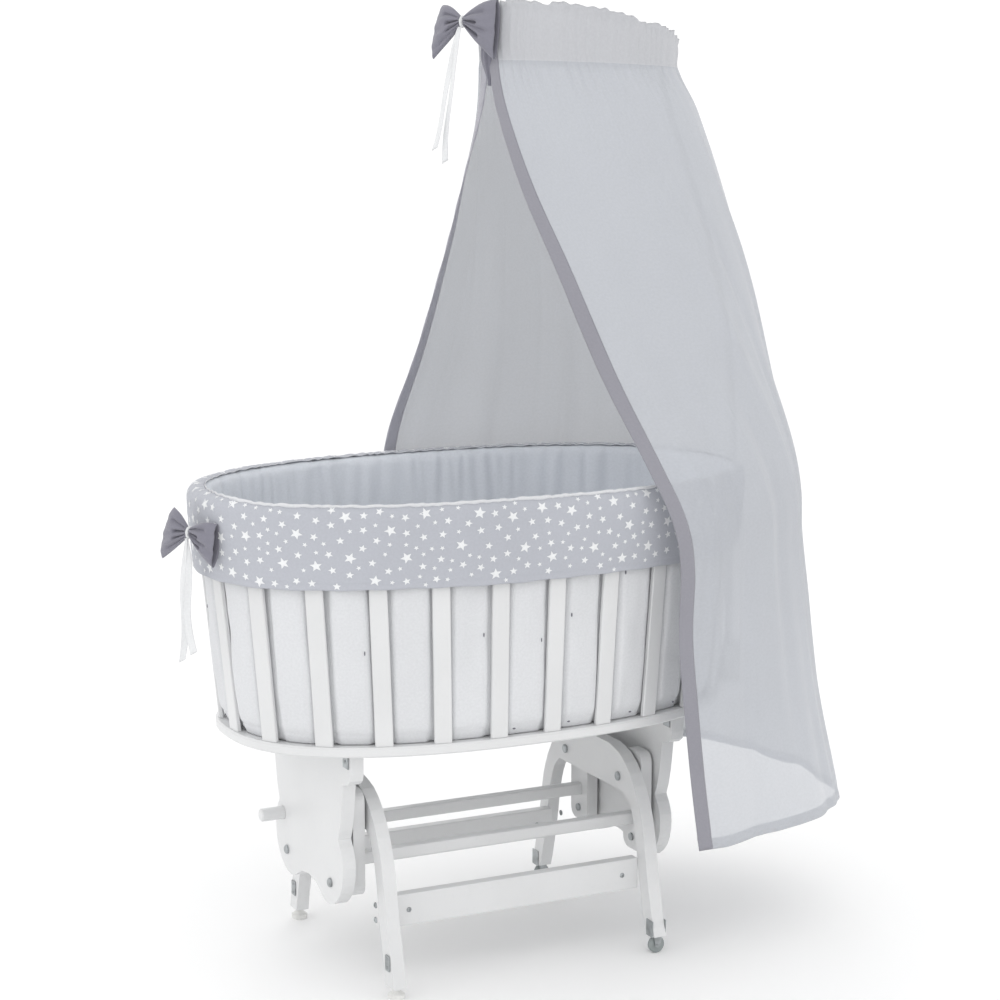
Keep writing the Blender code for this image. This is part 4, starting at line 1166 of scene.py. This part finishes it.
    def binding(self, name, face, sizes):
        """Grey cotton folded over an edge of the sheet and stitched down."""
        side = facing(face, False)
        if "rear" in name:
            side = -side
        marks = np.array([-0.0012, 0.0, 0.0022, 0.35 * sizes.trim, 0.62 * sizes.trim, 0.86 * sizes.trim, sizes.trim])
        steps = np.linalg.norm(np.diff(face, axis=1), axis=2)
        run = np.concatenate([np.zeros((len(face), 1)), np.cumsum(steps, 1)], 1)
        line, out = [], []
        for i in range(len(face)):
            edge = face[i, 0] - face[i, 1]
            edge /= np.linalg.norm(edge) + 1e-12
            points = []
            for mark in marks:
                if mark < 0.0:
                    points.append(face[i, 0] - edge * mark)
                else:
                    points.append(np.array([np.interp(mark, run[i], face[i, :, k]) for k in range(3)]))
            line.append(points)
            inside = [max(mark, 0.0) for mark in marks]
            out.append([np.array([np.interp(mark, run[i], side[i, :, k]) for k in range(3)]) for mark in inside])
        line, out = np.array(line), np.array(out)
        half = np.array([0.0, 0.0011, 0.0013, 0.0012, 0.0012, 0.0009, 0.0006])[None, :, None]
        ripple = 0.0005 * np.sin(np.linspace(0, 150, len(face)))[:, None, None] * (half > 0.001)
        front = line + out * (half + ripple)
        behind = line - out * (half + ripple)
        whole = np.concatenate([behind[:, ::-1], front[:, 1:]], 1)
        whole = np.concatenate([whole, whole[:, :1]], 1)
        # the far edge gets the same cotton in a lighter tint: painted light that offsets its shade inside the canopy
        piece = cloth_piece(name, whole, FINISH["far_binding_painted_lighter" if "rear" in name else "binding"])
        return mend(piece, weld=True, fill=True)


class CRIB_OT_bows(bpy.types.Operator):
    """Two grey bows with creased wings, a knot and white ribbon tails"""
    bl_idname = "crib.bows"
    bl_label = "Bows and ribbons"

    def execute(self, context):
        sizes = context.scene.crib_sizes
        self.bow("bow_basket", BASKET_BOW, BASKET_WINGS, ((-0.020, -0.205), (0.004, -0.188)), 3, 0.024, sizes)
        self.bow("bow_canopy", CANOPY_BOW, CANOPY_WINGS, ((-0.052, -0.200), (-0.036, -0.221)), 8, 0.034, sizes)
        self.tip_wrap()
        return {"FINISHED"}

    def place(self, centre, u, v, d):
        """A point of a bow from its own across, up and outward distances."""
        across = np.array([math.cos(BOW_FACING), math.sin(BOW_FACING), 0.0])
        outward = np.array([math.sin(BOW_FACING), -math.cos(BOW_FACING), 0.0])
        return np.array(centre) + CRIB + across * u + np.array([0.0, 0.0, 1.0]) * v + outward * d

    def wing(self, centre, top, low, folds, seed):
        """One puffed loop between its two outer corners, drawn together at the knot."""
        rings, half = 34, 34
        way = 1.0 if top[0] > 0.0 else -1.0
        full = np.linspace(-1.0, 1.0, half)
        steps = [(i / (rings - 1), False) for i in range(rings)] + [(r, True) for r in POCKET]
        grid = np.zeros((len(steps), 2 * half, 3))
        for i, (r, inner) in enumerate(steps):
            q = full * (0.95 if inner else 1.0)
            t = (q + 1.0) / 2.0
            outer_u = low[0] + (top[0] - low[0]) * t + way * 0.0030 * (1.0 - q * q)
            outer_v = low[1] + (top[1] - low[1]) * t
            u = way * 0.0035 + (outer_u - way * 0.0035) * r
            v = 0.0010 + 0.0078 * q + (outer_v - 0.0010 - 0.0078 * q) * r ** 0.96
            v = v + q * np.where(q > 0, 0.0050, 0.0015) * math.sin(math.pi * r)
            puff = (0.0040 + 0.0078 * math.sin(math.pi * min(1.0, r * 0.74 + 0.10))) * (1.0 - np.abs(q) ** 3) ** 0.6 + 0.0007
            groove = np.zeros_like(q)
            for spot, wide, deep, reach in folds:
                hold = float(1.0 - ease(r, reach * 0.72, reach)) * min(1.0, r * 9.0 + 0.15)
                groove = np.maximum(groove, deep * hold * np.exp(-((q - spot) / wide) ** 2))
            ripple = 0.0009 * np.sin(9.0 * q + seed + 4.0 * r) + 0.0006 * np.sin(17.0 * q + 2.0 * seed - 5.0 * r)
            ripple = ripple * (1.0 - np.abs(q) ** 4)
            front = np.maximum(puff - (puff + 0.0010) * 0.95 * groove + ripple, 0.0004 - 0.0030 * groove)
            rear = np.minimum(-puff * 0.75, front - 0.0012)
            if inner:
                middle, deep_half = (front + rear) / 2.0, np.maximum((front - rear) / 2.0 - 0.0010, 0.0002)
                front, rear = middle + deep_half, middle - deep_half
            bend = -0.007 * r ** 2
            for j in range(half):
                grid[i, j] = self.place(centre, u[j], v[j], front[j] + bend)
                grid[i, 2 * half - 1 - j] = self.place(centre, u[j], v[j], rear[j] + bend)
        return grid

    def closed(self, name, rows, finish_name, slot_name, flip=False):
        """A closed form from rings of points, its two ends filled."""
        grid = np.array(rows)
        piece = cloth_piece(name, grid[:, ::-1] if flip else grid, FINISH[finish_name], wrap=True)
        return mend(piece, fill=True, split=True)

    def bow(self, name, centre, corners, tails, seed, neck, sizes):
        left_top, left_low, right_top, right_low = corners
        left = self.wing(centre, left_top, left_low, LEFT_FOLDS, seed)
        right = self.wing(centre, right_top, right_low, RIGHT_FOLDS, seed + 1)
        parts = [self.closed("wing", left, "grey_cloth", "grey_cloth", True),
                 self.closed("wing", right, "grey_cloth", "grey_cloth")]
        # a neck of the same cotton is sewn to the cloth behind
        rows = []
        for i in range(7):
            share = i / 6
            rows.append([self.place(centre, 0.0060 * math.cos(2.0 * math.pi * j / 16),
                                    0.0085 * math.sin(2.0 * math.pi * j / 16) * (1.0 - 0.3 * share), -neck * share) for j in range(16)])
        parts.append(self.closed("neck", rows, "grey_cloth", "grey_cloth"))
        whole = join_as(name + "_loops", parts)
        # the white ribbon that ties the middle
        rows = []
        for i in range(16):
            lat = math.pi * (i + 0.5) / 16 - math.pi / 2
            row = []
            for j in range(24):
                lon = 2.0 * math.pi * j / 24
                pinch = 1.0 + 0.09 * math.sin(4.0 * lon + seed) + 0.05 * math.sin(7.0 * lat)
                row.append(self.place(centre, 0.0048 * math.cos(lat) * math.cos(lon) * pinch,
                                      0.0098 * math.sin(lat), 0.0085 * math.cos(lat) * math.sin(lon) * pinch + 0.0005))
            rows.append(row)
        knot = self.closed(name + "_knot", rows, "ribbon", "white_cloth")
        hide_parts(name)
        for k, (u_end, v_end) in enumerate(tails):
            self.ribbon("%s_ribbon_%d" % (name, k + 1), centre, u_end, v_end, seed + 10 * k, sizes)
        return knot

    def tip_wrap(self):
        """The two edge bindings gathered together under the bow, before they part."""
        rows = []
        for i in range(26):
            t = i / 25
            z = 1.500 - 0.090 * t
            wide = 0.0150 - 0.0122 * ease(t, 0.25, 1.0)
            deep = 0.0165 - 0.0130 * ease(t, 0.45, 1.0)
            row = []
            for j in range(64):
                turn = 2.0 * math.pi * j / 64
                crease = 0.075 * math.sin(7.0 * turn + 2.2 * t) + 0.04 * math.sin(11.0 * turn - 3.0 * t)
                pleat = 1.0 + crease * (0.5 + 0.5 * t)
                x = 0.0345 - 0.0035 * t + deep * math.cos(turn) * pleat
                row.append(np.array([x, wide * math.sin(turn) * pleat, z]) + CRIB)
            rows.append(row)
        return self.closed("canopy_tip_wrap", rows, "grey_cloth", "grey_cloth")

    def ribbon(self, name, centre, u_end, v_end, seed, sizes):
        """A satin ribbon that hangs from the knot with a slow twist and a slanted end."""
        draw = random.Random(seed + 2)
        steps = 46
        swing, turn0 = draw.uniform(0.0025, 0.0045), draw.uniform(-0.35, 0.15)
        rows, run = [], 0.0
        last = None
        for i in range(steps):
            t = i / (steps - 1)
            u = -0.003 + (u_end + 0.003) * t ** 0.85 + swing * math.sin(7.0 * t + seed) * t
            v = -0.008 + (v_end + 0.008) * t
            d = 0.004 + 0.006 * math.sin(4.0 * t + 0.4 * seed) * t
            angle = turn0 + 0.45 * math.sin(3.4 * t + 0.7 * seed)
            row = []
            for j in range(9):
                w = (j / 8 - 0.5) * sizes.ribbon * (0.55 + 0.45 * min(1.0, t * 6.0))
                cup = 0.0012 * math.cos(math.pi * (j / 8 - 0.5)) * math.sin(9.0 * t + seed)
                slant = 0.006 * (j / 8 - 0.5) * t ** 6
                row.append(self.place(centre, u + w * math.cos(angle), v + slant, d + w * math.sin(angle) + cup))
            rows.append(row)
            here = self.place(centre, u, v, d)
            run += 0.0 if last is None else float(np.linalg.norm(here - last))
            last = here
        piece = cloth_piece(name, np.array(rows), FINISH["ribbon"], thick=0.0005)


class CRIB_PT_panel(bpy.types.Panel):
    """The crib's pieces and settings"""
    bl_label = "Baby crib"
    bl_idname = "CRIB_PT_panel"
    bl_space_type = "VIEW_3D"
    bl_region_type = "UI"
    bl_category = "Crib"

    def draw(self, context):
        column = self.layout.column(align=True)
        for name in STEPS:
            column.operator("crib." + name)
        for group in (context.scene.crib_sizes, context.scene.crib_colours):
            box = self.layout.box()
            for key in group.__annotations__:
                box.prop(group, key)


STEPS = ("stage", "woodwork", "fittings", "cover", "mattress", "canopy", "bows")
CLASSES = (CribSizes, CribColours, CRIB_OT_stage, CRIB_OT_woodwork, CRIB_OT_fittings, CRIB_OT_cover,
           CRIB_OT_mattress, CRIB_OT_canopy, CRIB_OT_bows, CRIB_PT_panel)


def register():
    for cls in CLASSES:
        bpy.utils.register_class(cls)
    bpy.types.Scene.crib_sizes = PointerProperty(type=CribSizes)
    bpy.types.Scene.crib_colours = PointerProperty(type=CribColours)


def unregister():
    del bpy.types.Scene.crib_sizes
    del bpy.types.Scene.crib_colours
    for cls in reversed(CLASSES):
        bpy.utils.unregister_class(cls)


def main():
    register()
    FINISH.update(make_finishes(bpy.context.scene.crib_colours))
    for name in STEPS:
        getattr(bpy.ops.crib, name)()


if __name__ == "__main__":
    main()
